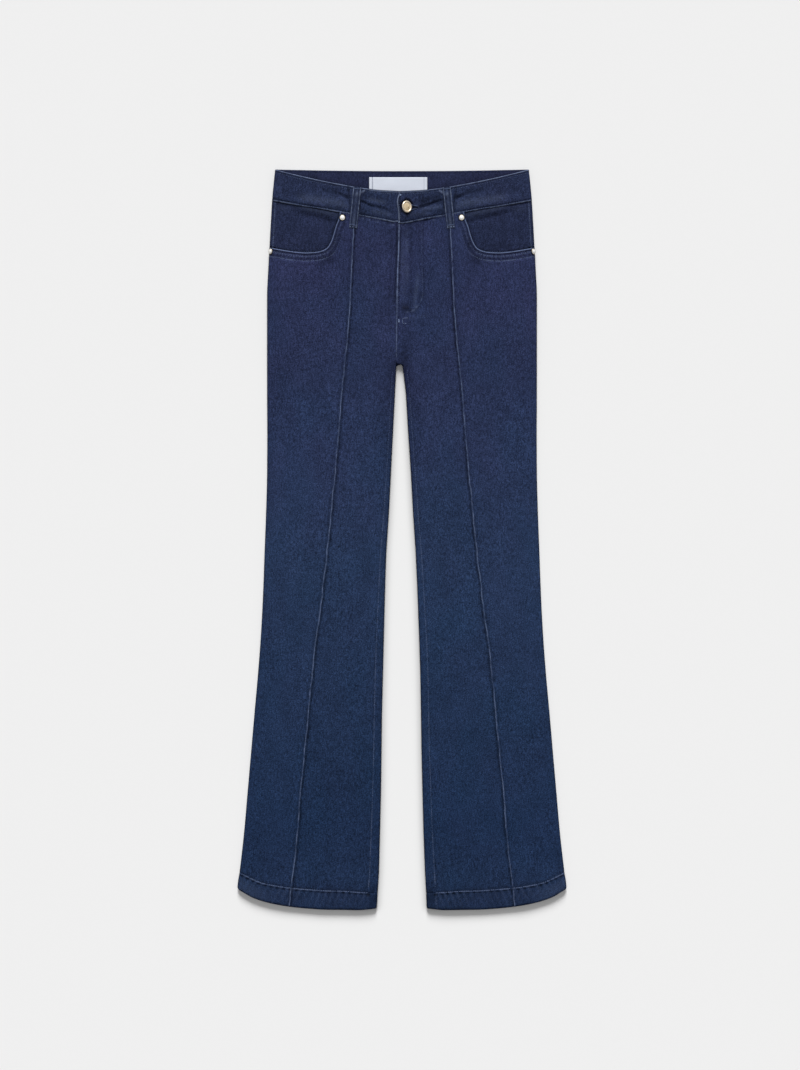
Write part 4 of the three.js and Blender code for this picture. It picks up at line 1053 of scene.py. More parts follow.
def build_front_outer(side):
    seed = 80 if side > 0 else 110
    word = "left" if side > 0 else "right"
    lay = front_lay(side, outer=True)
    lo = lambda y: pin_at(y) - 1.3
    hi = lambda y: lay.ends(y)[1]
    below = lambda q: hem_edge(np.minimum(q, 240.4))
    side_top = 426.2
    lean_a = math.atan2(float(lie("top", 420.6) - lie("seam", 420.6) - 0.2), float(lie("round", 420.6)))
    rivet_q = float(outer_at(420.6)) - float(lie("round", 420.6)) + float(quarter(lie("round", 420.6), lie("top", 420.6) - lie("seam", 420.6) - 0.2)) * (1 - lean_a / (math.pi / 2))

    def above(q):
        return np.where(q < SCOOP["d"][0], band_seam(q) + 0.6, np.minimum(band_seam(q) + 0.6, scoop(np.minimum(q, 194.5))))

    y_bl, y_br = corner(lo, below, -536), corner(hi, below, -509)
    y_tl = corner(lo, lambda q: band_seam(q) + 0.6, 476)
    left_y = np.linspace(y_tl, y_bl, 1500)
    right_y = np.linspace(y_br, side_top, 1500)
    bq = np.linspace(lo(np.array([y_bl]))[0], hi(np.array([y_br]))[0], 240)
    q_end = hi(np.array([side_top]))[0]
    tq = np.concatenate([np.linspace(q_end, 112, 90)[:-1], np.linspace(112, SCOOP["d"][0] + 0.01, 220)])
    scoop_edge = polyline(tq, above(tq))
    bq2 = np.linspace(SCOOP["d"][0], lo(np.array([y_tl]))[0], 30)
    band_edge = polyline(bq2, band_seam(bq2) + 0.6)
    edges = [polyline(bq, below(bq)), polyline(hi(right_y), right_y), scoop_edge, band_edge, polyline(lo(left_y), left_y)]
    features = [
        (edges[4], (1.0, 1.6, 2.3, 3.2, 4.6), 2.0),
        (edges[1], (1.0, 1.7, 2.6, 3.8, 5.2), 2.0),
        (scoop_edge, (0.7, 1.2, 1.8, 2.5, 3.2, 3.9, 4.7, 5.4, 6.2, 7.2, 8.2, 9.2, 10.2, 11.2, 12.0, 12.8, 13.8), 1.3),
        (band_edge, (1.4, 2.2, 3.2), 1.6),
        (HEM_LINE.p[(HEM_LINE.p[:, 0] > 150)], FINE, 1.3),
    ]
    co, tri, area = fill(edges, 2.7, features)

    def relief(q, y, x):
        X = side * x
        pin = q - pin_at(y)
        r = breathe(X, y) * ease(0, 6, hi(y) - q) + fold_relief(X, y, FOLDS)
        r += 0.62 * bell(pin - 0.1, 1.25) + rim_roll(pin + 1.3, 1.7, 1.3) + 0.10 * bell(pin - 6, 3)
        r += 0.07 * ticks(y, 11, seed) * bell(pin - 3, 3)
        r += hem_relief(q, y, x, seed)
        d, s = SCOOP_LINE.near(q, y, 16)
        d = -d  # positive below the scoop
        near = (np.abs(d) < 16)
        r += np.where(near, 0.4 * bell(d - 0.9, 0.9) - 0.30 * bell(d - 3.2, 0.8) - 0.35 * bell(d - 5.4, 0.8) - 0.42 * bell(d - 12.2, 0.9), 0)
        r += np.where(near, 0.24 * ticks(s, 6.2, seed + 2) * bell(d - 8.0, 3.0) + 0.12 * ticks(s, 7.0, seed + 3) * bell(d - 12.5, 2.5), 0)
        r += np.where(near & (d > -0.5), rim_roll(np.maximum(d, 0), 0.6, 0.8), 0)
        top = band_seam(q) + 0.6 - y
        r += -0.5 * bell(top, 1.6)
        r += rim_roll(y - below(q), 0.7, 1.3)
        return np.clip(r, -1.1, 1.6)

    def paint(q, y, x):
        pin = q - pin_at(y)
        # the raised front seam: a pale edge, partly rubbed cloth and partly painted highlight, with painted shade in
        # the valleys each side
        keep = np.clip(0.72 + 0.45 * noise1(y / 9, seed + 1) + 0.2 * noise1(y / 2.7, seed + 2), 0.2, 1.1)
        wear_and_highlight = 0.66 * bell(pin + 0.05, 0.66) * keep
        shade = 0.42 * bell(pin - 2.4, 1.2) * (0.8 + 0.4 * noise1(y / 7, seed + 3)) + 0.5 * bell(pin + 1.5, 0.6)
        w, s_ = hem_paint(q, y, seed)
        wear_and_highlight, shade = np.maximum(wear_and_highlight, w), np.maximum(shade, s_)
        # painted shade where the hem's edge turns under and along the folded outer edge
        shade = np.maximum(shade, 0.52 * (1 - ease(0.4, 2.4, y - below(q))))
        edge = hi(y) - q
        shade = np.maximum(shade, 0.68 * (1 - ease(1.0, 4.2, edge)) + 0.06 * (1 - ease(3, 12, edge)))
        # the pocket's scooped edge: a rubbed pale edge, then painted shade along the stitched grooves
        d, s = SCOOP_LINE.near(q, y, 16)
        d = -d
        t = ticks(s, 6.2, seed + 2)
        near = np.abs(d) < 16
        wear_and_highlight = np.maximum(wear_and_highlight, np.where(near, 0.66 * bell(d - 0.4, 0.85), 0))
        fine = 0.5 + 0.5 * np.sin(2 * math.pi * (s / 3.4 + 0.3 * noise1(s / 9, seed + 6)))
        shade = np.maximum(shade, np.where(near, 0.62 * bell(d - 3.0, 0.9) + 0.26 * bell(d - 5.4, 1.0) * fine + 0.60 * bell(d - 8.8, 1.5) * np.clip(0.78 + 0.45 * t, 0, 1), 0))
        # painted highlight and painted shade on small upright puckers between the two rows
        rib = np.sin(2 * math.pi * (s / 4.2 + 0.35 * noise1(s / 8, seed + 15)))
        level = 1 - 0.6 * ease(418, 428, y)
        wear_and_highlight = np.maximum(wear_and_highlight, np.where(near, 0.19 * level * bell(d - 6.0, 2.0) * np.clip(rib, 0, 1), 0))
        shade = np.maximum(shade, np.where(near, 0.40 * level * bell(d - 6.2, 2.4) * np.clip(-rib, 0, 1), 0))
        wear_and_highlight = np.maximum(wear_and_highlight, np.where(near, 0.10 * bell(d - 5.4, 0.9) * (1 - fine), 0))
        wear_and_highlight = np.maximum(wear_and_highlight, np.where(near, 0.26 * bell(d - 12.2, 0.9) * np.clip(0.55 + 0.9 * noise1(s / 3, seed + 4), 0, 1) * (1 - ease(412, 424, y)), 0))
        # painted shadow just below the waistband, and painted shade round the two rivets
        top = band_seam(q) + 0.6 - y
        shade = np.maximum(shade, 0.50 * bell(top - 2.6, 1.2))
        shade = np.maximum(shade, 0.90 * (1 - ease(4.4, 6.2, np.hypot(q - 87.0, y - 469.8))))
        shade = np.maximum(shade, 0.80 * (1 - ease(4.4, 6.4, np.hypot(q - rivet_q, y - 420.6))))
        # painted shade round the scoop's corner and in a patch below it, with a few pale painted highlights on its
        # puckers
        corner_ = np.where(near, spot(q, y, 101.0, 431.0, 20.0, 24.0), 0)
        shade = np.maximum(shade, corner_ * (0.62 * bell(d - 4.4, 1.9) + 0.60 * bell(d - 8.4, 2.2) + 0.22 * bell(d - 12.5, 3.0)))
        shade = np.maximum(shade, 0.66 * spot(q, y, 107.5, 409.5, 13.5, 9.5) * np.clip(0.85 + 0.35 * noise1(s / 4, seed + 12), 0, 1))
        wear_and_highlight = np.maximum(wear_and_highlight, corner_ * 0.22 * bell(d - 6.2, 1.0) * np.clip(1.5 * noise1(s / 3.8, seed + 9), 0, 1))
        wear_and_highlight = np.maximum(wear_and_highlight, 0.07 * (1 - ease(-12, -3, y - hem_stitched(np.clip(q, 30, 240)))) * ease(175, 225, q))
        shade = np.clip(shade, 0, 1)
        # a soft patch of painted shade by the hem's outer corner
        away = (0.13 if side < 0 else 0.05) * spot(q, y, 208.0, -452.0, 22.0, 36.0)
        shade = shade + away * (1 - shade)
        return np.clip(wear_and_highlight, 0, 1), shade

    thick = lambda x, y: CLOTH + (HEM - CLOTH) * (1 - ease(-0.8, 0.8, y - hem_stitched(x)))
    return cloth(
        "panel_front_outer_" + word, "front_outer_" + word, lay, side, co, tri, area, relief, paint, thick,
        DENIM,
    ), co, edges


def build_facing(side):
    seed = 140 if side > 0 else 150
    word = "left" if side > 0 else "right"
    lay = front_lay(side, outer=True, drop=CLOTH + 0.3)
    q0 = 79.0
    low = lambda q: np.maximum(scoop(np.clip(q + 8, 90.6, 194.5)) - 12, 408)
    side_low = 426.4

    def hi(y):
        return lay.ends(y)[1] - 11 * (1 - ease(side_low, side_low + 2, y))

    above = lambda q: band_seam(q) + 0.6
    y_r0 = corner(hi, lambda q: low(q), 414)
    y_tr = corner(hi, above, 496)
    right_y = np.linspace(y_r0, y_tr, 300)
    bq = np.linspace(q0, hi(np.array([y_r0]))[0], 200)
    tq = np.linspace(hi(np.array([y_tr]))[0], q0, 150)
    edges = [polyline(bq, low(bq)), polyline(hi(right_y), right_y), polyline(tq, above(tq)), polyline([q0, q0], [above(q0), low(np.array([q0]))[0]])]
    seam_y = np.linspace(425, 499, 120)
    side_stitch = Line(polyline(lay.ends(seam_y)[1] - 6.4, seam_y))
    features = [
        (SCOOP_LINE.p, (-0.6, 0.4, 1.2, 2.2, 3.4), 1.8),
        (edges[1], (1.0, 1.8, 2.6, 4), 2.0),
        (side_stitch.p, (-1.2, -0.5, 0.4, 1.2), 1.8),
        (edges[2], (1.4, 2.2, 3.2, 4.4), 2.0),
    ]
    co, tri, area = fill(edges, 2.7, features)

    def relief(q, y, x):
        X = side * x
        r = 0.7 * breathe(X, y) * ease(0, 6, lay.ends(y)[1] - q)
        d, s = SCOOP_LINE.near(q, y, 16)
        r = np.where(d > 0, r, np.minimum(r, 0.05)) * ease(-1, 6, d)
        top = above(q) - y
        r += -0.5 * bell(top, 1.6) + 0.15 * ticks(q, 8, seed) * bell(top - 3, 3)
        e, s2 = side_stitch.near(q, y, 8)
        r += -0.3 * bell(e, 0.9)
        # the cloth stands up a little between the pocket's mouth and the band
        r += 0.55 * np.exp(-(((q - 140) / 40) ** 2) - (((y - 450) / 16) ** 2))
        r += 0.75 * stroke(q, y, 96, 475, 152, 486, 3.6, 0.3) - 1.0 * stroke(q, y, 92, 461.8, 156, 477.8, 3.2, 0.3)
        r += -0.4 * stroke(q, y, 150, 452, 170, 436, 7.0, 0.4)
        return np.clip(r, -0.7, 1.4)

    def paint(q, y, x):
        d, s = SCOOP_LINE.near(q, y, 16)
        # painted shade under the scoop's edge and in the shadow it throws on the facing
        shade = np.where(d < 0, 0.6, 0.42 * bell(d - 1.2, 1.9) + 0.08 * np.exp(-np.maximum(d, 0) / 9))
        shade = np.where(np.abs(d) > 15.9, np.where(y < scoop(np.clip(q, 90.6, 194.5)), 0.6, 0.0), shade)
        top = above(q) - y
        # painted shadow below the waistband, painted shade in a crease across the facing, and round the rivet
        shade = np.maximum(shade, 0.34 * bell(top - 3.2, 1.5) + 0.26 * bell(top - 9, 7) * np.exp(-(((q - 118) / 34) ** 2)))
        shade = np.maximum(shade, 0.42 * stroke(q, y, 92, 463.5, 158, 480.0, 2.6, 0.25) * np.clip(0.8 + 0.5 * noise1(q / 9, seed + 2), 0, 1))
        shade = np.maximum(shade, 0.34 * spot(q, y, 145.0, 474.0, 12.0, 4.0))
        shade = np.maximum(shade, 0.90 * (1 - ease(4.4, 6.2, np.hypot(q - 87.0, y - 469.8))))
        shade = shade + 0.10 * noise2(q / 22, y / 17, seed + 8)
        # painted shade along the folded side edge
        edge = lay.ends(y)[1] - q
        shade = np.maximum(shade, 0.55 * (1 - ease(1.0, 3.8, edge)))
        e, s2 = side_stitch.near(q, y, 8)
        # the side row is rubbed pale; a painted highlight on the ridge above the crease
        wear_and_highlight = 0.15 * bell(e, 0.8) * np.clip(0.7 + 0.6 * noise1(s2 / 3, seed + 1), 0, 1)
        wear_and_highlight = np.maximum(wear_and_highlight, 0.13 * stroke(q, y, 94, 474, 150, 486, 3.2, 0.3) + 0.05 * spot(q, y, 172.0, 484.0, 12.0, 6.0))
        return np.clip(wear_and_highlight, 0, 1), np.clip(shade, 0, 1)

    return cloth(
        "panel_facing_" + word, "pocket_facing_" + word, lay, side, co, tri, area, relief, paint,
        lambda x, y: np.full_like(x, CLOTH), DENIM_DARK,
    ), co, edges, side_stitch


# ------------------------------------------------------------------ waistband
BAND_FOLDS = {
    # The band's creases, as rows in X, Y on the garment: from, to, half width, depth. A negative depth is a ridge.
    -1: [
        (-62.0, 495.2, -52.0, 492.0, 1.8, 1.35),
        (-53.0, 492.4, -45.0, 488.2, 1.6, 1.2),
        (-46.0, 488.2, -32.0, 486.0, 1.5, 0.9),
        (-33.0, 486.2, -12.0, 477.0, 1.9, 0.6),
        (-50.0, 494.0, -24.0, 489.4, 2.4, -0.5),
        (-79.0, 499.0, -92.0, 506.0, 2.4, 1.0),
        (-92.0, 506.0, -118.0, 511.0, 3.6, 0.55),
        (-80.0, 490.0, -112.0, 496.0, 4.0, -0.4),
        (-140.0, 500.0, -176.0, 510.0, 5.0, 0.35),
        (-96.0, 484.0, -136.0, 492.0, 3.0, -0.35),
        (-84.0, 483.0, -112.0, 487.0, 2.2, 0.3),
    ],
    1: [
        (18.5, 484.0, 32.0, 487.6, 1.5, 1.25),
        (31.0, 487.4, 46.0, 492.4, 1.5, 1.35),
        (44.0, 492.0, 60.0, 497.0, 1.6, 1.4),
        (47.0, 488.8, 59.5, 493.4, 1.4, 0.6),
        (24.0, 480.5, 56.0, 486.5, 2.8, -0.5),
        (78.0, 499.0, 92.0, 505.5, 2.4, 1.0),
        (92.0, 505.5, 120.0, 510.5, 3.6, 0.5),
        (80.0, 490.0, 112.0, 496.5, 4.0, -0.4),
        (10.0, 471.5, 34.0, 473.5, 2.4, 0.4),
        (96.0, 485.0, 132.0, 492.5, 3.0, -0.3),
        (138.0, 505.0, 172.0, 512.0, 5.0, 0.3),
    ],
}
# Parts of the band that lie in shade, as rows in X, Y: from, to, half width, how deep; and parts that catch the light.
BAND_SHADE = {
    -1: [(-60, 505, -47, 499, 7.0, 0.42), (-47, 500, -12, 494, 4.0, 0.16), (-85, 512, -178, 530, 8.0, 0.20), (-60, 480, -50, 478, 3.0, 0.3), (-76, 500, -84, 503, 4.0, 0.4)],
    1: [(19, 491, 58, 501.5, 5.6, 0.56), (24, 486.8, 58, 496.2, 2.8, 0.5), (85, 512, 178, 530, 8.0, 0.18), (60, 480, 50, 478, 3.0, 0.3), (40, 474, 58, 480, 3.0, 0.22), (76, 500, 84, 503, 4.0, 0.4), (-4.0, 470, -3.6, 500, 3.2, 0.40)],
}
BAND_LIGHT = {
    -1: [(-50, 497.5, -24, 492, 2.4, 0.09), (-84, 490, -150, 500, 5.5, 0.085), (-78, 486, -100, 490, 3.5, 0.07), (-44, 480, -16, 474, 3.0, 0.06)],
    1: [(28, 481, 56, 486, 3.0, 0.07), (84, 490, 150, 500, 5.5, 0.085), (78, 486, 100, 490, 3.5, 0.07), (12, 474, 40, 476, 2.4, 0.05)],
}
LOOP_D = 68.3  # middle of a front loop, where it crosses the band


def band_rise(side, x):
    if side > 0:
        return (BAND + 0.3 - TAB_DROP) * (1 - ease(OVERLAP + 3, 54, x))
    return -TAB_DROP * ease(-13, -7.4, x)


def build_front_band(side):
    seed = 170 if side > 0 else 190
    word = "left" if side > 0 else "right"
    start_of = band_end if side > 0 else (lambda y: -OVERLAP + 0 * np.asarray(y, float))
    edge_round = 5.0
    lay = Lay(1, lambda y: BAND_TOP_Z + 0 * y, lambda y: 3.4 + 0 * y, lambda y: edge_round + 0 * y, outer_at)
    hi = lambda y: lay.ends(y)[1]
    below = lambda q: band_seam(np.minimum(q, 189.6)) - 1.2 * ease(20, 60, q) - 0.9 * ease(110, 150, q) - 0.5 - dip(q) + (1.6 * ease(-12, -8, -q) if side < 0 else 0)
    if side > 0:
        above = lambda q: band_top(np.minimum(q, 186)) - 4.6 * (np.clip((-1.2 - q) / 5.4, 0, 1)) ** 2
    else:
        above = lambda q: band_top(np.minimum(q, 186)) - 0.8 * ease(-2, 8, -q)
    y_br, y_tr = corner(hi, below, 497), corner(hi, above, 540)
    y_bl, y_tl = corner(start_of, below, 464), corner(start_of, above, 503)
    right_y = np.linspace(y_br, y_tr, 120)
    bq = np.linspace(start_of(np.array([y_bl]))[0], hi(np.array([y_br]))[0], 300)
    tq = np.linspace(hi(np.array([y_tr]))[0], start_of(np.array([y_tl]))[0], 400)
    left_y = np.linspace(y_tl, y_bl, 60)
    edges = [polyline(bq, below(bq)), polyline(hi(right_y), right_y), polyline(tq, above(tq)), polyline(start_of(left_y), left_y)]
    features = [
        (edges[0], (0.8, 1.5, 2.2, 3.0, 4.0), 1.8),
        (edges[2], (0.8, 1.5, 2.2, 3.0), 1.8),
        (edges[3], (0.8, 1.5, 2.2, 3.2), 1.6),
        (edges[1], (1.0, 1.8, 3.0), 1.8),
    ]
    hole = None
    if side > 0:
        a = np.linspace(math.pi / 2, 3 * math.pi / 2, 22)
        hole = np.vstack([np.column_stack([7.2 + 3.8 * np.cos(a), 484.6 + 3.8 * np.sin(a)]), np.column_stack([np.linspace(9, 22.4, 9), 484.6 - np.linspace(3.6, 0.5, 9)]), np.column_stack([np.linspace(22.4, 9, 9), 484.6 + np.linspace(0.5, 3.6, 9)])])
        features.append((np.vstack([hole, hole[:1]]), (-2.6, -1.8, -1.1, -0.5), 1.0))
    co, tri, area = fill(edges, 2.2, features, 1.5, hole)

    def relief(q, y, x):
        X = side * x
        r = band_rise(side, X) if side < 0 else band_rise(side, x)
        r = r + 0.5 * breathe(X * 1.3, y * 1.4) * ease(0, 5, hi(y) - q)
        r += 1.0 * fold_relief(X, y + 2.2, BAND_FOLDS[side]) * (1 if side > 0 else ease(-14, 0, -X))
        top, low = above(q) - y, y - below(q)
        r += rim_roll(top, 0.8, 1.0) + rim_roll(low, 0.35, 0.8) + rim_roll(q - start_of(y), 0.8, 1.0)
        r += -0.75 * (1 - ease(0, 5.5, low)) * ease(10, 40, q)
        r += 0.10 * bell(low - 0.8, 1.0) - 0.30 * bell(low - 2.4, 0.8) + 0.14 * ticks(q, 7.5, seed) * bell(low - 3.5, 3)
        r += 0.22 * bell(top - 0.9, 0.9) - 0.22 * bell(top - 2.2, 0.9) - 0.18 * bell(top - 4.5, 0.9) + 0.12 * ticks(q, 8.5, seed + 1) * bell(top - 3.5, 3)
        if side > 0:
            r += -0.30 * bell(q - band_end(y) - 2.9, 0.9)
            r += -1.3 * (1 - ease(0, 7, low)) * (1 - ease(20, 40, q))
        r += -0.55 * bell(q - LOOP_D, 7.5)
        return np.clip(r, -1.5, 2.6)

    def paint(q, y, x):
        X = side * x
        top, low = above(q) - y, y - below(q)
        lab = ease(-50, -47, X) * (1 - ease(38, 41, X))
        wear_and_highlight = 0.66 * bell(top - 0.2 - 1.3 * lab, 0.8) * np.clip(0.82 + 0.35 * noise1(q / 6, seed + 2), 0, 1)
        # the lower edge's pale line, partly rubbed cloth and partly painted highlight
        seam_rub_and_highlight = np.interp(q, [0, 40, 60, 85, 102, 118, 150, 172, 190], [1.0, 1.0, 0.85, 0.95, 0.85, 0.50, 0.50, 0.85, 0.85])
        wear_and_highlight = np.maximum(wear_and_highlight, 0.88 * seam_rub_and_highlight * bell(low - 0.5, 0.8) * np.clip(0.68 + 0.75 * noise1(q / 3.6, seed + 3), 0.12, 1))
        # a darker line under the top row, a painted shadow where the label meets the band's top edge, and a darker line
        # above the lower edge
        shade = 0.55 * bell(top - 2.3 - 1.1 * lab, 1.0) * np.clip(0.8 + 0.4 * noise1(q / 4, seed + 4), 0, 1)
        shade = np.maximum(shade, 0.95 * lab * (1 - ease(0.3, 1.1, top)))
        shade = np.maximum(shade, 0.50 * bell(low - 2.8, 1.1) * np.clip(0.8 + 0.4 * noise1(q / 5, seed + 5), 0, 1))
        if side > 0:
            wear_and_highlight = np.maximum(wear_and_highlight, 0.85 * bell(q - band_end(y) - 0.7, 1.0) * (1 - ease(501, 506, y)))
            wear_and_highlight = np.maximum(wear_and_highlight, 0.70 * spot(q, y, -3.6, 503.4, 1.6, 1.3))
            shade = np.maximum(shade, 0.60 * bell(q - band_end(y) - 2.9, 1.2))
            # painted shade round the button, its shank and in its hole
            ring = np.hypot((q - 7.2) / 7.0, (y - 486.0) / 8.8)
            under = ease(-9, 0, y - 486.0)
            shade = np.maximum(shade, (0.95 + 0.04 * under) * (1 - ease(1.2, 1.58, ring)) + 0.12 * (1 - ease(1.2, 1.8, ring)))
        # painted shade along the folded side edge, in the creases and over the parts listed in BAND_SHADE; painted
        # highlights from BAND_LIGHT
        edge = hi(y) - q
        shade = np.maximum(shade, 0.5 * (1 - ease(1.0, 3.8, edge)))
        creases = [(a, b, c, e, w * 0.62, 0.62 * k) for a, b, c, e, w, k in BAND_FOLDS[side] if k > 0]
        shade = np.maximum(shade, strokes(X, y, creases) * np.clip(0.9 + 0.3 * noise1(X / 5, seed + 7), 0, 1))
        shade = shade + strokes(X, y, BAND_SHADE[side]) * (1 - shade)
        wear_and_highlight = np.maximum(wear_and_highlight, strokes(X, y, BAND_LIGHT[side]))
        # by the loop's head the top edge is pinched into a small fold, with a painted highlight on it and painted shade
        # below it
        wear_and_highlight = np.maximum(wear_and_highlight, 0.62 * stroke(X, y, side * 59.6, 505.6, side * 54.0, 510.6, 0.95, 0.1))
        shade = np.maximum(shade, 0.60 * stroke(X, y, side * 58.6, 503.0, side * 50.5, 509.0, 1.2, 0.15))
        # deep shade each side of the belt loop
        shade = np.maximum(shade, 0.62 * bell(np.abs(q - LOOP_D - 0.09 * (y - 486)) - 7.4, 1.7))
        # between the loop and the button the band is a little darker
        shade = np.maximum(shade, 0.08 * (1 - ease(50, 64, np.abs(X))))
        return np.clip(wear_and_highlight, 0, 1), np.clip(shade, 0, 1)

    return cloth(
        "band_front_" + word, "waistband_front_" + word, lay, side, co, tri, area, relief, paint,
        lambda x, y: BAND + band_rise_back(side, x), DENIM_BAND,
    ), co, edges, hole


def band_rise_back(side, x):
    """The inner face follows the band's rise, so its wall keeps its thickness."""
    return -(band_rise(side, x) if side > 0 else band_rise(side, -x))


def build_back_band():
    lay = Lay(-1, lambda y: REST_LIFT + 0 * y, lambda y: 3.0 + 0 * y, lambda y: 3.6 + 0 * y, outer_at)
    top_lay = lay
    seed = 210
    # one flat piece right across, its two faces 2 mm apart; q runs both ways from the middle
    half = lambda y: outer_at(y) - 0.6
    y_b, y_t = float(back_seam(189.6)), float(back_top(185.4))
    ry = np.linspace(y_b, y_t, 60)
    bq = np.linspace(-189.0, 189.0, 400)
    tq = np.linspace(half(y_t), -half(y_t), 400)
    edges = [
        polyline(np.linspace(-half(y_b), half(y_b), 400), back_seam(np.linspace(-half(y_b), half(y_b), 400))),
        polyline(half(ry), ry),
        polyline(tq, back_top(tq)),
        polyline(-half(ry[::-1]), ry[::-1]),
    ]
    features = [(edges[2], (0.8, 1.5, 2.2, 3.2, 4.2), 2.0), (edges[0], (0.8, 1.5, 2.4, 3.4), 2.2), (edges[1], (1, 2, 3), 2), (edges[3], (1, 2, 3), 2)]
    co, tri, area = fill(edges, 2.6, features, 1.8)
    q, y = co[:, 0], co[:, 1]
    top, low, end = back_top(q) - y, y - back_seam(q), half(y) - np.abs(q)
    roll = lambda v, depth, width: depth * np.clip(1 - v / width, 0, 1) ** 2
    curl = 1 - ease(0, 8, end)
    upper = REST_LIFT + BAND + 0.25 * noise2(q / 38, y / 30, 31) + 0.1 * noise2(q / 11, y / 14, 32) - 0.5 * curl
    upper -= roll(top, 0.7, 1.3) + roll(low, 0.6, 1.2)
    upper -= 0.3 * bell(top - 3.2, 0.9)
    lower = REST_LIFT + roll(top, 0.6, 1.3) + roll(low, 0.5, 1.2) + 0.9 * curl + 0.25 * bell(top - 3.2, 0.9) + 0.25 * bell(low - 3.0, 0.9)
    n = len(co)
    verts = np.vstack([np.column_stack([q, y, upper]), np.column_stack([q, y, lower])])
    edges_ = np.vstack([tri[:, [0, 1]], tri[:, [1, 2]], tri[:, [2, 0]]])
    _, first, count = np.unique(np.sort(edges_, axis=1), axis=0, return_index=True, return_counts=True)
    rim = edges_[first[count == 1]]
    walls = np.column_stack([rim[:, 1], rim[:, 0], rim[:, 0] + n, rim[:, 1] + n])
    # inner face: a rubbed pale top edge, painted shade along its top and just above the front band's edge; outer face:
    # rubbed edges and darker rows
    wear_in = 0.10 * bell(top - 0.3, 0.9)
    shade_in = 0.5 * (1 - ease(0.0, 2.4, top)) + 0.2 * bell(top - 3.2, 1.0)
    shade_in = np.maximum(shade_in, 0.30 * (1 - ease(0, 10, y - band_top(q))))
    wear_out = 0.45 * bell(top - 0.6, 1.0) + 0.4 * bell(low - 0.6, 1.0)
    shade_out = 0.3 * bell(top - 3.2, 1.0) + 0.3 * bell(low - 3.0, 1.0)
    ob = make_mesh(
        "band_back", verts, [tri, tri[:, ::-1] + n, walls], DENIM_BAND,
        {"wear_and_highlight": np.concatenate([wear_in, wear_out]), "shade": np.concatenate([shade_in, shade_out])},
    )
    ob.data.materials.append(DENIM_INSIDE)
    slots = np.zeros(len(ob.data.polygons), np.int32)
    slots[: len(tri)] = 1
    ob.data.polygons.foreach_set("material_index", slots)
    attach(ob, "root")
    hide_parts("waistband_back")
    return ob


# ------------------------------------------------------------------ the back
# Soft creases under the seat, behind the knees and above the hems, on the side that isn't seen from above.
BACK_FOLDS = [
    (24, 268, 72, 246, 5.0, 0.50),
    (-22, 266, -66, 242, 5.0, 0.46),
    (42, 250, 98, 235, 6.0, 0.38),
    (-46, 245, -92, 229, 6.0, 0.34),
    (150, 250, 112, 236, 7.0, 0.28),
    (-156, 258, -116, 240, 7.0, 0.30),
    (60, 8, 120, -15, 9.0, 0.40),
    (-64, -3, -124, -25, 9.0, 0.36),
    (58, -42, 108, -64, 8.0, 0.30),
    (-60, -50, -100, -72, 8.0, 0.28),
    (172, 118, 120, 95, 9.0, 0.28),
    (-172, 108, -126, 90, 9.0, 0.26),
    (112, -330, 152, -424, 12.0, 0.26),
    (-104, -352, -142, -440, 12.0, 0.24),
]


def build_back(side):
    seed = 230 if side > 0 else 250
    word = "left" if side > 0 else "right"
    lay = back_lay(side)
    lo = lambda y: lay.ends(y)[0]
    hi = lambda y: lay.ends(y)[1]
    below = lambda q: hem_edge(np.clip(q, 30.0, 240.4))
    above = lambda q: yoke_seam(q) + 0.5
    y_bl, y_br = corner(lo, below, -538), corner(hi, below, -509)
    y_tl, y_tr = corner(lo, above, 431), corner(hi, above, 465)
    left_y, right_y = np.linspace(y_tl, y_bl, 1500), np.linspace(y_br, y_tr, 1500)
    bq = np.linspace(lo(np.array([y_bl]))[0], hi(np.array([y_br]))[0], 300)
    tq = np.linspace(hi(np.array([y_tr]))[0], lo(np.array([y_tl]))[0], 200)
    edges = [polyline(bq, below(bq)), polyline(hi(right_y), right_y), polyline(tq, above(tq)), polyline(lo(left_y), left_y)]
    features = [
        (edges[1], (1.2, 2.4, 3.8), 2.6),
        (edges[3], (1.2, 2.4, 3.8), 2.6),
        (edges[2], (1.2, 2.4, 3.6), 2.2),
        (HEM_LINE.p, (-2.4, -1.2, 0, 1.2, 2.4), 1.8),
    ]
    co, tri, area = fill(edges, 3.8, features, 2.2)

    def relief(q, y, x):
        X = side * x
        lift = ease(150, 300, y)
        r = lift * (0.25 * breathe(X + 500, y)) - 0.25 * np.abs(hem_relief(q, y, x, seed))
        r += np.minimum(fold_relief(X, y, BACK_FOLDS), 0)
        seat = q - lo(y)
        up = ease(262, 300, y)
        r += up * (-0.35 * bell(seat - 2.4, 0.9) - 0.3 * bell(seat - 8, 0.9) + 0.08 * ticks(y, 8, seed) * bell(seat - 5, 3))
        top = above(q) - y
        r += -0.4 * bell(top, 1.4)
        r += rim_roll(y - below(q), 0.6, 1.3)
        return np.clip(r, -0.8, 0.4 * lift)

    def paint(q, y, x):
        X = side * x
        w, s_ = hem_paint(q, y, seed)
        # painted shade in the creases and along the folded edges
        s_ = np.maximum(s_, strokes(X, y, [(a, b, c, e, 0.8 * wide, 0.5 * k) for a, b, c, e, wide, k in BACK_FOLDS]))
        edge = np.minimum(hi(y) - q, (q - lo(y)) + 40 * (1 - lie("curl", y)))
        shade = np.maximum(s_, 0.4 * (1 - ease(1.0, 4.0, edge)))
        seat = q - lo(y)
        up = ease(262, 300, y)
        w = np.maximum(w, up * 0.35 * bell(seat - 0.6, 1.0))
        shade = np.maximum(shade, up * 0.3 * bell(seat - 2.6, 1.0))
        top = above(q) - y
        shade = np.maximum(shade, 0.45 * bell(top - 0.8, 1.0))
        return np.clip(w, 0, 1), np.clip(shade, 0, 1)

    thick = lambda x, y: CLOTH + (HEM - CLOTH) * (1 - ease(-0.8, 0.8, y - hem_stitched(x)))
    return cloth(
        "panel_back_" + word, "back_" + word, lay, side, co, tri, area, relief, paint, thick, DENIM,
    ), lo


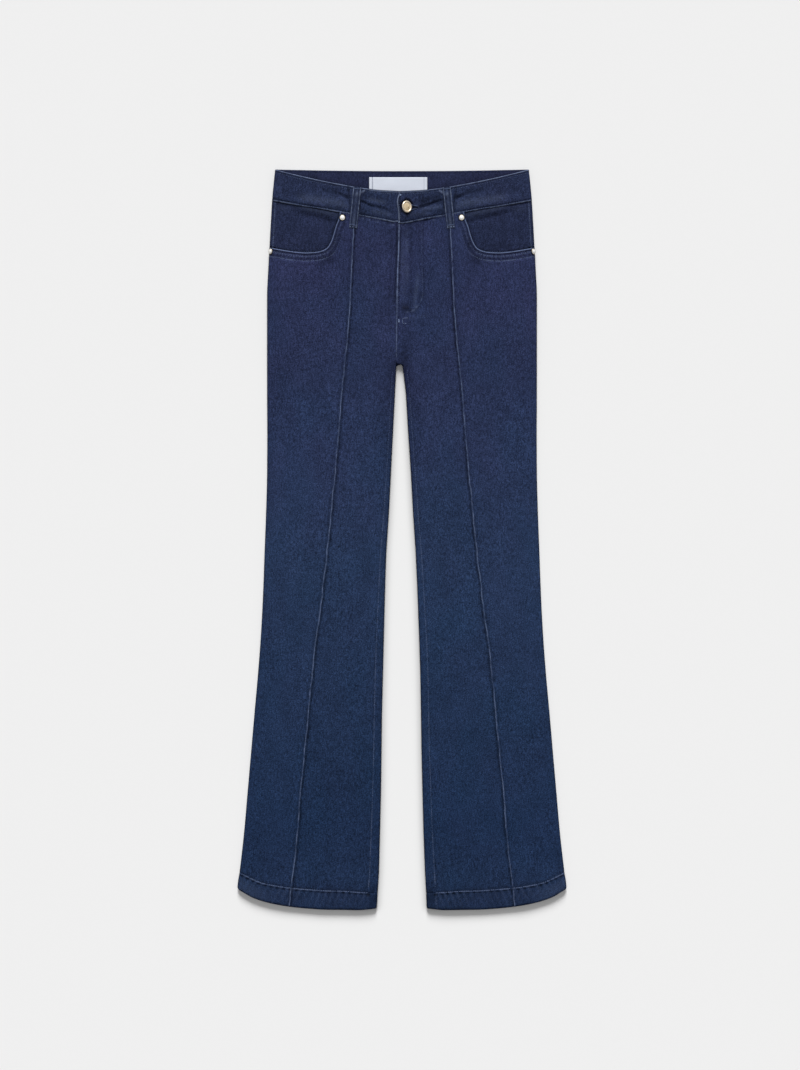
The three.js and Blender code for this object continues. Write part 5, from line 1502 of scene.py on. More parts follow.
def build_yoke(side):
    seed = 270 if side > 0 else 280
    word = "left" if side > 0 else "right"
    lay = back_lay(side, inner=False)
    hi = lambda y: lay.ends(y)[1]
    below = lambda q: yoke_seam(q) - 0.3
    above = lambda q: back_seam(q) + 0.4
    y_br, y_tr = corner(hi, below, 465), corner(hi, above, 496)
    right_y = np.linspace(y_br, y_tr, 60)
    bq = np.linspace(0.1, hi(np.array([y_br]))[0], 200)
    tq = np.linspace(hi(np.array([y_tr]))[0], 0.1, 200)
    edges = [polyline(bq, below(bq)), polyline(hi(right_y), right_y), polyline(tq, above(tq)), polyline([0.1, 0.1], [above(np.array([0.1]))[0], below(np.array([0.1]))[0]])]
    features = [(edges[0], (0.8, 1.6, 2.4, 3.4, 8, 9), 2.2), (edges[2], (0.8, 1.6), 2.4), (edges[3], (1, 2, 3), 2)]
    co, tri, area = fill(edges, 3.4, features, 2.2)

    def relief(q, y, x):
        low = y - below(q)
        r = 0.2 * breathe(side * x + 500, y) + rim_roll(low, 0.5, 1.0) + 0.3 * bell(low - 1.0, 1.0)
        r += -0.3 * bell(low - 2.4, 0.8) - 0.28 * bell(low - 8.4, 0.8) + 0.1 * ticks(q, 8, seed) * bell(low - 5, 3)
        r += -0.3 * bell(q, 1.2)
        return np.clip(r, -0.7, 0.6)

    def paint(q, y, x):
        low = y - below(q)
        wear_and_highlight = 0.42 * bell(low - 0.5, 1.0) + 0.3 * bell(q - 0.6, 1.0)
        # a darker row along the lower seam and painted shade at the folded side edge
        shade = 0.4 * bell(low - 2.6, 1.0) + 0.45 * (1 - ease(1, 4, hi(y) - q))
        return np.clip(wear_and_highlight, 0, 1), np.clip(shade, 0, 1)

    return cloth(
        "panel_yoke_" + word, "yoke_" + word, lay, side, co, tri, area, relief, paint,
        lambda x, y: np.full_like(x, CLOTH), DENIM,
    )


def build_patch(side):
    """A plain back pocket. It lies under the seat, flat on the table, with a folded top edge."""
    seed = 290 if side > 0 else 300
    word = "left" if side > 0 else "right"
    corners = [PATCH[1], PATCH[2], PATCH[3], PATCH[4], PATCH[0]]
    edges = []
    for k in range(5):
        a, b = np.array(corners[k], float), np.array(corners[(k + 1) % 5], float)
        t = np.linspace(0, 1, 60)[:, None]
        edges.append(a + (b - a) * t)
    loop = Line(np.vstack([edges[4], edges[0], edges[1], edges[2]]))
    mouth = Line(edges[3])
    flat = Lay(-1, lambda y: 0.15 + 0 * y, lambda y: 1.0 + 0 * y, lambda y: 1 + 0 * y)
    features = [(e, (0.8, 1.5, 2.2, 3.2, 7, 8), 2.2) for e in edges]
    co, tri, area = fill(edges, 3.2, features, 2.0)

    def relief(q, y, x):
        d, s = loop.near(q, y, 14)
        m, s2 = mouth.near(q, y, 20)
        d, m = np.abs(d), np.abs(m)
        r = rim_roll(np.minimum(d, m), 0.4, 1.0) - 0.3 * bell(d - 2.2, 0.8) - 0.3 * bell(d - 8.0, 0.8) - 0.3 * bell(m - 12, 0.9)
        r += 0.05 * ticks(s, 7, seed) * bell(d - 5, 3)
        return np.clip(r, -0.6, 0.15)

    def paint(q, y, x):
        d, _ = loop.near(q, y, 14)
        m, _ = mouth.near(q, y, 20)
        d, m = np.abs(d), np.abs(m)
        wear_and_highlight = 0.5 * bell(d - 0.5, 1.0) + 0.5 * bell(m - 0.5, 1.0)
        shade = 0.35 * bell(d - 2.4, 1.0) + 0.3 * bell(m - 12, 1.2)
        return np.clip(wear_and_highlight, 0, 1), np.clip(shade, 0, 1)

    return cloth(
        "pocket_back_" + word, "back_pocket_" + word, flat, side, co, tri, area, relief, paint,
        lambda x, y: np.full_like(x, CLOTH - 0.2), DENIM,
    )


def build_fly_facing():
    lay = Lay(1, lambda y: lie("top", y) - CLOTH - 0.3, lambda y: 0 * y, lambda y: 1 + 0 * y)
    ys = np.array([318, 322, 330, 345, 365, 400, 467.0])
    reach = np.array([14, 20, 29, 36.5, 39.6, 39.6, 39.6])
    right_y = np.linspace(318.2, 466, 120)
    right = -6.2 + smooth(ys, reach, right_y)
    bq = np.linspace(-5.8, right[0], 20)
    tq = np.linspace(right[-1], -5.8, 40)
    edges = [polyline(bq, np.full(20, 318.2)), polyline(right, right_y), polyline(tq, np.full(40, 466.0)), polyline([-5.8, -5.8], [466.0, 318.2])]
    co, tri, area = fill(edges, 3.5, [], 2.5)
    return cloth(
        "panel_fly_facing", "fly_facing", lay, 1, co, tri, area,
        lambda q, y, x: -0.15 * bell((right[60] - q), 3), lambda q, y, x: (np.zeros_like(q), np.full_like(q, 0.2)),
        lambda x, y: np.full_like(x, CLOTH), DENIM_DARK,
    )


# ------------------------------------------------------------------ belt loops
def strip(name, node, centre, across, width, lift, thick, mat, paint_ends, seed, columns=15, mirror=None):
    """A narrow strip along centre (rows of X, Y), each row with a base height, closed, with rolled edges."""
    n = len(centre)
    w = np.concatenate([[-0.5, -0.475, -0.44, -0.4, -0.35, -0.28], np.linspace(-0.2, 0.2, columns - 12), [0.28, 0.35, 0.4, 0.44, 0.475, 0.5]])
    rows_o, rows_i, wear_and_highlight, shade = [], [], [], []
    for k in range(n):
        edge = np.abs(w) * width
        off = width / 2 - edge
        wobble = 0.12 * noise1(k / 3 + seed, seed)
        p = centre[k][None, :] + across[k][None, :] * (w * width + wobble)[:, None]
        ridge = 0.28 * bell(off - 1.3, 0.8) - 0.30 * bell(off - 2.8, 0.8) + 0.2 * bell(w * width, 2.2)
        foot_thin = 0.95 * (1 - ease(0, 0.06, k / (n - 1))) if mirror is None else 0.0
        z = lift[k] + thick - foot_thin + ridge + rim_roll(off, 0.75, 0.9) + 0.07 * noise1(k / 2.2 + w * 5, seed + 2)
        rows_o.append(np.column_stack([p, z]))
        rows_i.append(np.column_stack([p, np.full(len(w), lift[k])]))
        grain = 0.75 + 0.5 * noise1(k / 1.7, seed + 3)
        at = k / (n - 1)
        low_down = bell(at - 0.17, 0.12) if mirror is None else 0.0
        head_up = bell(at - 0.83, 0.05) if mirror is None else 0.0
        # the rolled edges are rubbed pale; a painted highlight down the lower middle, on the head where it folds over
        # the band and on the foot
        a = 0.52 * bell(off - 0.9, 0.8) * grain + (0.08 + 0.16 * low_down) * bell(w * width, 2.2)
        a = np.maximum(a, 0.55 * head_up * bell(w * width + 0.8, 1.6))
        if mirror is None:
            a = np.maximum(a, 0.34 * (1 - ease(0.05, 0.10, at)) * np.clip(0.8 + 0.5 * noise1(w * 7, seed + 5), 0, 1))
        # painted shade in the grooves inside the rolled edges and on the edges themselves, and across the run as
        # paint_ends gives it
        b = 0.5 * bell(off - 2.9, 0.9) + 0.5 * bell(off, 0.5)
        end = paint_ends(k / (n - 1))
        wear_and_highlight.append(np.clip(a + 0 * w, 0, 1))
        shade.append(np.clip(np.maximum(b, end), 0, 1))
    C = len(w)
    outer, inner = np.vstack(rows_o), np.vstack(rows_i)
    total = n * C
    idx = lambda r, c: r * C + c
    quads = []
    for r in range(n - 1):
        for c in range(C - 1):
            quads.append((idx(r, c), idx(r, c + 1), idx(r + 1, c + 1), idx(r + 1, c)))
    quads = np.array(quads)
    walls = []
    for c in range(C - 1):
        walls.append((idx(0, c + 1), idx(0, c), idx(0, c) + total, idx(0, c + 1) + total))
        walls.append((idx(n - 1, c), idx(n - 1, c + 1), idx(n - 1, c + 1) + total, idx(n - 1, c) + total))
    for r in range(n - 1):
        walls.append((idx(r, 0), idx(r + 1, 0), idx(r + 1, 0) + total, idx(r, 0) + total))
        walls.append((idx(r + 1, C - 1), idx(r, C - 1), idx(r, C - 1) + total, idx(r + 1, C - 1) + total))
    verts = np.vstack([outer, inner])
    faces = [quads, quads[:, ::-1] + total, np.array(walls)]
    # outward is up: turn everything over if the rows run the other way
    a, b, c, d = (verts[i] for i in quads[0])
    if np.cross(b - a, d - a)[2] < 0:
        faces = [f[:, ::-1] for f in faces]
    ob = make_mesh(name, verts, faces, mat, {"wear_and_highlight": np.concatenate([np.concatenate(wear_and_highlight), np.zeros(total)]), "shade": np.concatenate([np.concatenate(shade), np.full(total, 0.4)])})
    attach(ob, "root")
    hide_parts(node)
    return ob


def build_front_loop(side):
    word = "left" if side > 0 else "right"
    foot, head = np.array([71.4, 454.2]), np.array([65.2, float(band_top(65.2)) - 0.1])
    s = np.linspace(0, 1, 46)
    centre = foot + (head - foot) * s[:, None]
    run = (head - foot) / np.linalg.norm(head - foot)
    across = np.array([run[1], -run[0]])
    y = centre[:, 1]
    seam_at = float(band_seam(70))
    base = np.where(y > seam_at + 1, BAND_TOP_Z, lie("top", y)) + 0.3
    base = np.interp(s, [0, 0.12, 0.2, 0.3, 0.5, 0.75, 0.93, 1], [7.95, 8.05, 8.7, 9.15, 9.35, 9.2, 8.75, 8.5])
    centre = centre * np.array([side, 1.0])
    across = np.tile(across * np.array([side, 1.0]), (len(s), 1))
    # painted shade across the loop: at its foot, across the middle, below its head and at its very top
    ends = lambda t: 0.10 * math.exp(-(((t - 0.03) / 0.035) ** 2)) + 0.30 * math.exp(-(((t - 0.80) / 0.05) ** 2)) + 0.22 * math.exp(-(((t - 0.55) / 0.08) ** 2)) + 0.5 * math.exp(-(((t - 0.985) / 0.02) ** 2))
    return strip("loop_strip_front_" + word, "loop_front_" + word, centre, across, LOOP_WIDTH, base, 1.15, DENIM_BAND, ends, 320 + side)


def build_back_loop(name, node, x):
    y = np.linspace(482.2, 538.6 if x == 0 else 537.2, 40)
    centre = np.column_stack([np.full(40, float(x)), y])
    across = np.tile(np.array([1.0, 0.0]), (40, 1))
    # made upside down: its outer face is the lower one, so the rolled face is mirrored in z afterwards
    # painted shade across the loop near both ends
    ob = strip(name, node, centre, across, LOOP_WIDTH, np.full(40, 0.0), 0.85, DENIM_BAND, lambda t: 0.4 * math.exp(-(((t - 0.08) / 0.03) ** 2)) + 0.4 * math.exp(-(((t - 0.93) / 0.03) ** 2)), 330 + int(x) % 7, mirror=True)
    me = ob.data
    co = np.empty(len(me.vertices) * 3, np.float32)
    me.vertices.foreach_get("co", co)
    co = co.reshape(-1, 3)
    co[:, 2] = np.maximum(0.0012 - co[:, 2], 0.0)
    me.vertices.foreach_set("co", co.ravel())
    me.flip_normals()
    me.update()
    return ob


# ------------------------------------------------------------------ thread
class Stitches:
    """Gathers short runs of thread, each a small round-ended stitch, into one mesh."""

    def __init__(self):
        self.v, self.f, self.count = [], [], 0
        ring = 6
        prof = [(-0.5, 0.25), (-0.38, 0.8), (0.0, 1.0), (0.38, 0.8), (0.5, 0.25)]
        a = np.arange(ring) * 2 * math.pi / ring
        self.unit = np.array([(t, r * math.cos(b), r * math.sin(b)) for t, r in prof for b in a])
        f = []
        for k in range(len(prof) - 1):
            for j in range(ring):
                f.append((k * ring + j, k * ring + (j + 1) % ring, (k + 1) * ring + (j + 1) % ring, (k + 1) * ring + j))
        self.quads = np.array(f)
        last = (len(prof) - 1) * ring
        self.caps = np.array([tuple(range(ring - 1, -1, -1)), tuple(last + j for j in range(ring))])
        self.cap_faces = []

    def add(self, p, q, radius):
        p, q = np.asarray(p, float), np.asarray(q, float)
        run = q - p
        length = np.linalg.norm(run)
        if length < 1e-6:
            return
        t = run / length
        up = np.array([0, 0, 1.0])
        side = np.cross(up, t)
        side /= max(np.linalg.norm(side), 1e-9)
        up = np.cross(t, side)
        u = self.unit
        pts = (p + q) / 2 + u[:, :1] * length * t + u[:, 1:2] * radius * side + u[:, 2:] * radius * up
        self.v.append(pts)
        self.f.append(self.quads + self.count)
        self.cap_faces.append(self.caps + self.count)
        self.count += len(u)

    def build(self, name, mat, slot):
        ob = make_mesh(name, np.vstack(self.v), [np.vstack(self.f), np.vstack(self.cap_faces)], mat)
        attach(ob, "root")
        return ob


def sew(stitches, place, line, pitch=3.2, duty=0.74, radius=0.32, sink=0.0, jitter=0.12, seed=0, skip=None):
    """Stitches along a line (q, y) on the piece called place."""
    lay, relief, side = PLACES[place]
    p = resample(line, 0.25)
    s = np.arange(len(p)) * 0.25
    starts = np.arange(0.4, s[-1] - pitch * duty, pitch)
    rng = np.random.default_rng(seed + 1000)
    starts = starts + rng.uniform(-jitter, jitter, len(starts)) * pitch
    ends = starts + pitch * duty * (1 + rng.uniform(-0.1, 0.1, len(starts)))
    both = np.concatenate([starts, ends])
    q, y = np.interp(both, s, p[:, 0]), np.interp(both, s, p[:, 1])
    x, z, nx, nz = lay(q, y)
    r = relief(q, y, x) + radius * 0.45 - sink
    P = np.column_stack([side * (x + nx * r), y, z + nz * r])
    P[:, 2] = np.maximum(P[:, 2], radius) if lay.up < 0 else P[:, 2]
    n = len(starts)
    for k in range(n):
        if skip is not None and skip(q[k], y[k]):
            continue
        stitches.add(P[k], P[n + k], radius)


def bartack(stitches, place, centre, along, length, width, count, radius=0.36, rise=0.15):
    """A short bar of close stitches set across its run."""
    lay, relief, side = PLACES[place]
    along = np.array(along, float) / np.linalg.norm(along)
    cross = np.array([-along[1], along[0]])
    for k in range(count):
        c = np.array(centre) + along * length * ((k + 0.5) / count - 0.5)
        a, b = c - cross * width / 2, c + cross * width / 2 + along * 0.3
        q, y = np.array([a[0], b[0]]), np.array([a[1], b[1]])
        x, z, nx, nz = lay(q, y)
        r = np.maximum(relief(q, y, x), -0.2) + radius * 0.5 + rise
        P = np.column_stack([side * (x + nx * r), y, z + nz * r])
        stitches.add(P[0], P[1], radius)


# ------------------------------------------------------------------ metal
def lathe(name, profile, segments, mats, splits):
    """A turned solid about +Z from (radius, height) rows that start and end on the axis."""
    verts, faces, slots = [(0, 0, profile[0][1])], [], []
    rings = profile[1:-1]
    for r, h in rings:
        for k in range(segments):
            a = 2 * math.pi * k / segments
            verts.append((r * math.cos(a), r * math.sin(a), h))
    verts.append((0, 0, profile[-1][1]))
    tris, quads = [], []
    for k in range(segments):
        tris.append((0, 1 + (k + 1) % segments, 1 + k))
    for j in range(len(rings) - 1):
        for k in range(segments):
            a, b = 1 + j * segments + k, 1 + j * segments + (k + 1) % segments
            quads.append((a, b, b + segments, a + segments))
            slots.append(j)
    last, base = len(verts) - 1, 1 + (len(rings) - 1) * segments
    for k in range(segments):
        tris.append((last, base + k, base + (k + 1) % segments))
    ob = make_mesh(name, verts, [np.array(quads), np.array(tris)], mats[0])
    for m in mats[1:]:
        ob.data.materials.append(m)
    which = np.zeros(len(ob.data.polygons), np.int32)
    which[: len(quads)] = [0 if s < splits else 1 for s in slots]
    which[len(quads) + segments :] = 1 if len(mats) > 1 else 0
    ob.data.polygons.foreach_set("material_index", which)
    return ob


def move_mesh(ob, matrix):
    ob.data.transform(matrix)
    ob.data.update()


# ------------------------------------------------------------------ build everything
front_stitches, back_stitches, tacks, loop_bars, pale_tacks = Stitches(), Stitches(), Stitches(), Stitches(), Stitches()
for side in (-1, 1):
    word = "left" if side > 0 else "right"
    _, _, in_edges, inseam = build_front_inner(side)
    _, _, out_edges = build_front_outer(side)
    _, _, _, side_stitch = build_facing(side)
    _, _, band_edges, hole = build_front_band(side)
    _, back_lo = build_back(side)
    build_yoke(side)
    build_patch(side)
    build_front_loop(side)
    s0 = 7 if side > 0 else 19

    inner, outer, facing_, band_ = "panel_front_inner_" + word, "panel_front_outer_" + word, "panel_facing_" + word, "band_front_" + word
    # hem
    hd = np.linspace(0, 1, 400)
    lay = PLACES[inner][0]
    q_lo = float(lay.ends(np.array([-516.0]))[0][0])
    d1 = np.linspace(q_lo + 2.0 + float(np.interp(-516, INSEAM["y"], INSEAM["off"])), float(pin_at(-505)) - 1.0, 300)
    sew(front_stitches, inner, polyline(d1, hem_stitched(np.maximum(d1, 30))), 3.3, 0.72, 0.30, 0.0, seed=s0)
    lay = PLACES[outer][0]
    q_hi = float(lay.ends(np.array([-485.0]))[1][0])
    d2 = np.linspace(float(pin_at(-505)) + 1.2, q_hi - 0.5, 200)
    sew(front_stitches, outer, polyline(d2, hem_stitched(np.minimum(d2, 240))), 3.3, 0.72, 0.30, 0.0, seed=s0 + 1)
    # inside leg
    sew(front_stitches, inner, inseam.p[3:-4], 3.4, 0.66, 0.20, 0.16, seed=s0 + 2)
    # scooped pocket: two rows
    base = SCOOP_LINE.p
    nrm = SCOOP_LINE.n
    low = np.array([base[k] - nrm[k] * 5.4 for k in range(len(base))])
    low2 = np.array([base[k] - nrm[k] * 12.2 for k in range(len(base))])
    ok = lambda line: line[(line[:, 0] < 199) & (line[:, 1] < band_seam(line[:, 0]) - 1.0)]
    steep = lambda line, at: (line[line[:, 1] <= at], line[line[:, 1] >= at])
    for line, at, thin, n_seed in ((ok(low), 420.0, 0.28, 3), (ok(low2), 412.0, 0.27, 4)):
        level, rise = steep(line, at)
        sew(front_stitches, outer, level, 3.3, 0.6, thin, 0.06, seed=s0 + n_seed)
        sew(loop_bars, outer, rise, 3.3, 0.6, 0.24, 0.10, seed=s0 + n_seed)
    # side seam over the facing
    sew(front_stitches, facing_, side_stitch.p, 3.2, 0.7, 0.24, 0.05, seed=s0 + 5)
    # band: top row, lower row and, on the left, its end
    top_line = band_edges[2]
    keep = top_line[:, 0] < 189
    under_tab = (lambda q, y: q < -5.5) if side < 0 else None
    sew(front_stitches, band_, top_line[keep] + np.array([0, -4.5]), 3.2, 0.66, 0.20, 0.12, seed=s0 + 6, skip=under_tab)
    low_line = band_edges[0]
    keep = (low_line[:, 0] < 189)
    sew(front_stitches, band_, low_line[keep] + np.array([0, 1.3]), 3.2, 0.7, 0.24, 0.06, seed=s0 + 7, skip=under_tab)
    if side > 0:
        end_y = np.linspace(468, 498, 50)
        sew(front_stitches, band_, polyline(band_end(end_y) + 2.9, end_y), 3.2, 0.7, 0.22, 0.12, seed=s0 + 8)
        sew(loop_bars, inner, J_LINE.p[4:-6], 3.2, 0.66, 0.20, 0.14, seed=s0 + 9)
        # edge row of the closed fly
        fy = np.linspace(322, 460, 300)
        sew(front_stitches, inner, polyline(PLACES[inner][0].ends(fy)[0] + 3.0, fy), 3.2, 0.66, 0.20, 0.14, seed=s0 + 10)
        bartack(tacks, inner, (5.2, 338.6), (1, 0), 10.0, 5.0, 8, 0.24)
        bartack(pale_tacks, inner, (-4.5, 319.0), (0, 1), 4.4, 1.7, 6, 0.42)
        bartack(pale_tacks, band_, (-2.4, 502.4), (1, 0.3), 2.2, 1.5, 3, 0.42)
        bartack(pale_tacks, band_, (-4.2, 463.2), (0.4, 1), 2.4, 1.7, 3, 0.42)
        # a small square-ended row of stitches that ends the fly
        sew(pale_tacks, inner, polyline([8.6, 5.0, 1.2, 0.9, 1.2, 5.0, 8.4], [323.6, 323.3, 322.8, 319.4, 315.8, 315.4, 315.4]), 2.9, 0.66, 0.27, 0.02, seed=s0 + 11)
        # worked buttonhole: close stitches square to its edge
        ring = resample(np.vstack([hole, hole[:1]]), 0.62)
        nn, _ = normals_of(ring)
        lay, relief, _ = PLACES[band_]
        for k in range(len(ring) - 1):
            a, b = ring[k] - nn[k] * 0.15, ring[k] - nn[k] * 1.9
            q, y = np.array([a[0], b[0]]), np.array([a[1], b[1]])
            x, z, nx, nz = lay(q, y)
            r = relief(q, y, x) + 0.18
            P = np.column_stack([x + nx * r, y, z + nz * r])
            loop_bars.add(P[0], P[1], 0.3)
    # back: hem, seat seam, yoke, pocket
    bk = "panel_back_" + word
    lay = PLACES[bk][0]
    q0, q1 = float(lay.ends(np.array([-516.0]))[0][0]), float(lay.ends(np.array([-485.0]))[1][0])
    d3 = np.linspace(q0 + 0.5, q1 - 0.5, 500)
    sew(back_stitches, bk, polyline(d3, hem_stitched(np.clip(d3, 30, 240))), 3.3, 0.74, 0.28, 0.1, seed=s0 + 20)
    by = np.linspace(272, 428, 300)
    for off in (2.4, 8.0):
        sew(back_stitches, bk, polyline(lay.ends(by)[0] + off, by), 3.2, 0.72, 0.28, 0.1, seed=s0 + 21)
    yk = "panel_yoke_" + word
    yq = np.linspace(2, 188, 300)
    for off in (2.4, 8.4):
        sew(back_stitches, yk, polyline(yq, yoke_seam(yq) + off), 3.2, 0.72, 0.28, 0.1, seed=s0 + 22)
    pk = "pocket_back_" + word
    inset = lambda k: [(34 + k, 421 - 0.3 * k), (42 + k * 0.98, 314 + k * 0.62), (92, 296 + k * 1.1), (141 - k * 0.98, 322 + k * 0.62), (150 - k, 434 - 0.3 * k)]
    for off in (2.3, 8.0):
        sew(back_stitches, pk, np.array(inset(off), float), 3.2, 0.72, 0.28, 0.1, seed=s0 + 23)
    mouth = np.array([(36, 421.2 - 12), (148.6, 434 - 12)], float)
    sew(back_stitches, pk, mouth, 3.2, 0.72, 0.28, 0.1, seed=s0 + 24)

build_back_band()
build_fly_facing()
build_back_loop("loop_strip_back_centre", "loop_back_centre", 0)
build_back_loop("loop_strip_back_right", "loop_back_right", -112)
build_back_loop("loop_strip_back_left", "loop_back_left", 112)

# bars of thread at the feet and the heads of the front loops
for side in (-1, 1):
    for t, wide in ((0.075, 9.6), (0.955, 9.0)):
        foot, head = np.array([71.4, 454.2]), np.array([65.2, float(band_top(65.2)) - 0.1])
        c = foot + (head - foot) * t
        run = (head - foot) / np.linalg.norm(head - foot)
        cross = np.array([run[1], -run[0]])
        z = 8.0 + 1.15 + 0.1 if t < 0.5 else 8.7 + 1.15 + 0.2
        for k in range(17):
            m = c + cross * wide * ((k + 0.5) / 17 - 0.5)
            a, b = m - run * 0.95 - cross * 0.12, m + run * 0.95 + cross * 0.12
            loop_bars.add((side * a[0], a[1], z), (side * b[0], b[1], z), 0.3)
    for off in (-4.4, 0.2, 4.2):
        a, b = foot + run * 1.0 + cross * off, foot + run * 2.6 + cross * (off + 0.3)
        pale_tacks.add((side * a[0], a[1], 8.75), (side * b[0], b[1], 8.95), 0.42)

front_stitches.build("stitches_front", THREAD, "denim")
back_stitches.build("stitches_back", THREAD, "denim")
tacks.build("tacks_dark", THREAD_DARK, "denim")
loop_bars.build("loop_bars", THREAD_MID, "denim")
pale_tacks.build("tacks_pale", THREAD_PALE, "denim")

# ------------------------------------------------------------------ label
def build_label():
    """A bare woven label, its two ends folded under and sewn to the inside of the back band."""
    x0, x1, y0, y1 = -48.0, 37.0, 501.6, 529.3
    base = REST_LIFT + BAND + 0.35
    xs = np.concatenate([[x0, x0 + 0.5, x0 + 1.2, x0 + 3.6, x0 + 4.6, x0 + 5.0, x0 + 5.6, x0 + 6.4], np.linspace(x0 + 8, x1 - 6, 46), [x1 - 5.2, x1 - 4.8, x1 - 4.2, x1 - 3.4, x1 - 1.0, x1 - 0.4, x1]])
    ys = np.concatenate([[y0, y0 + 0.4], np.linspace(y0 + 1.2, y1 - 1.2, 26), [y1 - 0.4, y1]])
    X, Y = np.meshgrid(xs, ys)
    left, right = X - x0, x1 - X
    z = base + 0.75 + 0.16 * noise2(X / 16, Y / 14, 51) + 0.12 * np.sin(X / 9.5)
    z += 0.28 * bell(left - 2.2, 1.7) - 0.5 * bell(left - 5.0, 0.45) + 0.22 * bell(right - 2.2, 1.6) - 0.35 * bell(right - 4.8, 0.45)
    z -= 0.4 * (np.clip(1 - left / 0.8, 0, 1) ** 2 + np.clip(1 - right / 0.8, 0, 1) ** 2)
    z -= 0.3 * (np.clip(1 - (y1 - Y) / 0.8, 0, 1) ** 2)
    # painted shade in the creases where the ends fold under and along the edges, and a painted shadow where the label
    # meets the front band's top edge
    shade = 0.85 * bell(left - 5.0, 0.42) + 0.30 * bell(right - 4.8, 0.5) + 0.25 * bell(left, 0.4) + 0.2 * bell(right, 0.5)
    shade += 0.85 * (1 - ease(-0.2, 1.3, Y - band_top(X))) + 0.25 * bell(y1 - Y, 0.35)
    # a row of stitches at each folded end shows as small dimples
    for at in (left - 2.4, right - 2.4):
        z -= 0.10 * bell(at, 0.5) * (0.5 + 0.5 * np.sin(Y * 2.1))
    R, C = X.shape
    n = R * C
    top = np.column_stack([X.ravel(), Y.ravel(), z.ravel()])
    low = np.column_stack([X.ravel(), Y.ravel(), np.full(n, base)])
    at = lambda r, c: r * C + c
    quads = np.array([(at(r, c), at(r, c + 1), at(r + 1, c + 1), at(r + 1, c)) for r in range(R - 1) for c in range(C - 1)])
    walls = []
    for c in range(C - 1):
        walls.append((at(0, c + 1), at(0, c), at(0, c) + n, at(0, c + 1) + n))
        walls.append((at(R - 1, c), at(R - 1, c + 1), at(R - 1, c + 1) + n, at(R - 1, c) + n))
    for r in range(R - 1):
        walls.append((at(r, 0), at(r + 1, 0), at(r + 1, 0) + n, at(r, 0) + n))
        walls.append((at(r + 1, C - 1), at(r, C - 1), at(r, C - 1) + n, at(r + 1, C - 1) + n))
    ob = make_mesh("label_bare", np.vstack([top, low]), [quads, quads[:, ::-1] + n, np.array(walls)], WOVEN, {"shade": np.concatenate([np.clip(shade.ravel(), 0, 1), np.zeros(n)])})
    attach(ob, "root")
    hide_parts("label")


build_label()

# ------------------------------------------------------------------ button and rivets
from mathutils import Matrix

BUTTON = {"x": 7.2, "y": 484.6, "r": 8.6, "thick": 2.2, "tilt": 37.0}


def build_button():
    r, t = BUTTON["r"], BUTTON["thick"] / 2
    tilt = math.radians(BUTTON["tilt"])
    foot = BAND_TOP_Z - TAB_DROP + 0.3
    centre = foot + BAND + 0.3 + r * math.sin(tilt) + t * math.cos(tilt)
    prof = [(0, -t), (r - 1.4, -t), (r - 0.8, -t + 0.1), (r - 0.2, -t + 0.5), (r, -t + 1.0), (r - 0.1, t - 0.7), (r - 0.45, t - 0.25), (r - 1.0, t), (r - 1.6, t - 0.05), (r - 2.1, t - 0.35), (r - 2.4, t - 0.75), (r - 2.9, t - 0.8), (r - 3.6, t - 0.62), (r - 5.2, t - 0.4), (r - 7.2, t - 0.28), (0.9, t - 0.25), (0, t - 0.25)]
    head = lathe("button_head", prof, 64, [GOLD_RIM, GOLD_FACE], 9)
    # a faint hand-hammered face: one ring of nine shallow dimples
    me = head.data
    co = np.empty(len(me.vertices) * 3, np.float32)
    me.vertices.foreach_get("co", co)
    co = co.reshape(-1, 3) * 1000
    rad, ang = np.hypot(co[:, 0], co[:, 1]), np.arctan2(co[:, 1], co[:, 0])
    face = (co[:, 2] > t - 0.9) & (rad < r - 2.8)
    co[face, 2] += 0.10 * np.cos(9 * ang[face]) * bell(rad[face] - 4.6, 1.4)
    me.vertices.foreach_set("co", (co / 1000).ravel())
    move_mesh(head, Matrix.Translation((BUTTON["x"] / 1000, BUTTON["y"] / 1000, centre / 1000)) @ Matrix.Rotation(tilt, 4, "Y"))
    head.visible_shadow = False
    shank = lathe("button_shank", [(0, 0), (2.9, 0), (3.0, 0.3), (2.5, 1.0), (2.4, (centre - foot) - 1.2), (2.8, (centre - foot) - 0.2), (0, (centre - foot) - 0.1)], 32, [GOLD_FACE], 99)
    move_mesh(shank, Matrix.Translation((BUTTON["x"] / 1000, BUTTON["y"] / 1000, foot / 1000)))
    for ob in (head, shank):
        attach(ob, "root")
        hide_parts("button")


def build_rivet(name, node, at, lean, side):
    r = 4.0
    prof = [(0, 0), (r - 0.2, 0), (r, 0.2), (r - 0.05, 0.45), (r - 0.5, 0.68), (r - 0.9, 0.62), (r - 1.1, 0.58), (r - 1.4, 0.8), (1.7, 1.16), (1.1, 1.28), (0.5, 1.32), (0, 1.33)]
    ob = lathe(name, prof, 40, [RIVET_RIM, RIVET_PAINTED_GLINT], 4)
    move_mesh(ob, Matrix.Translation([v / 1000 for v in at]) @ Matrix.Rotation(side * lean, 4, "Y"))
    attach(ob, "root")
    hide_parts(node)


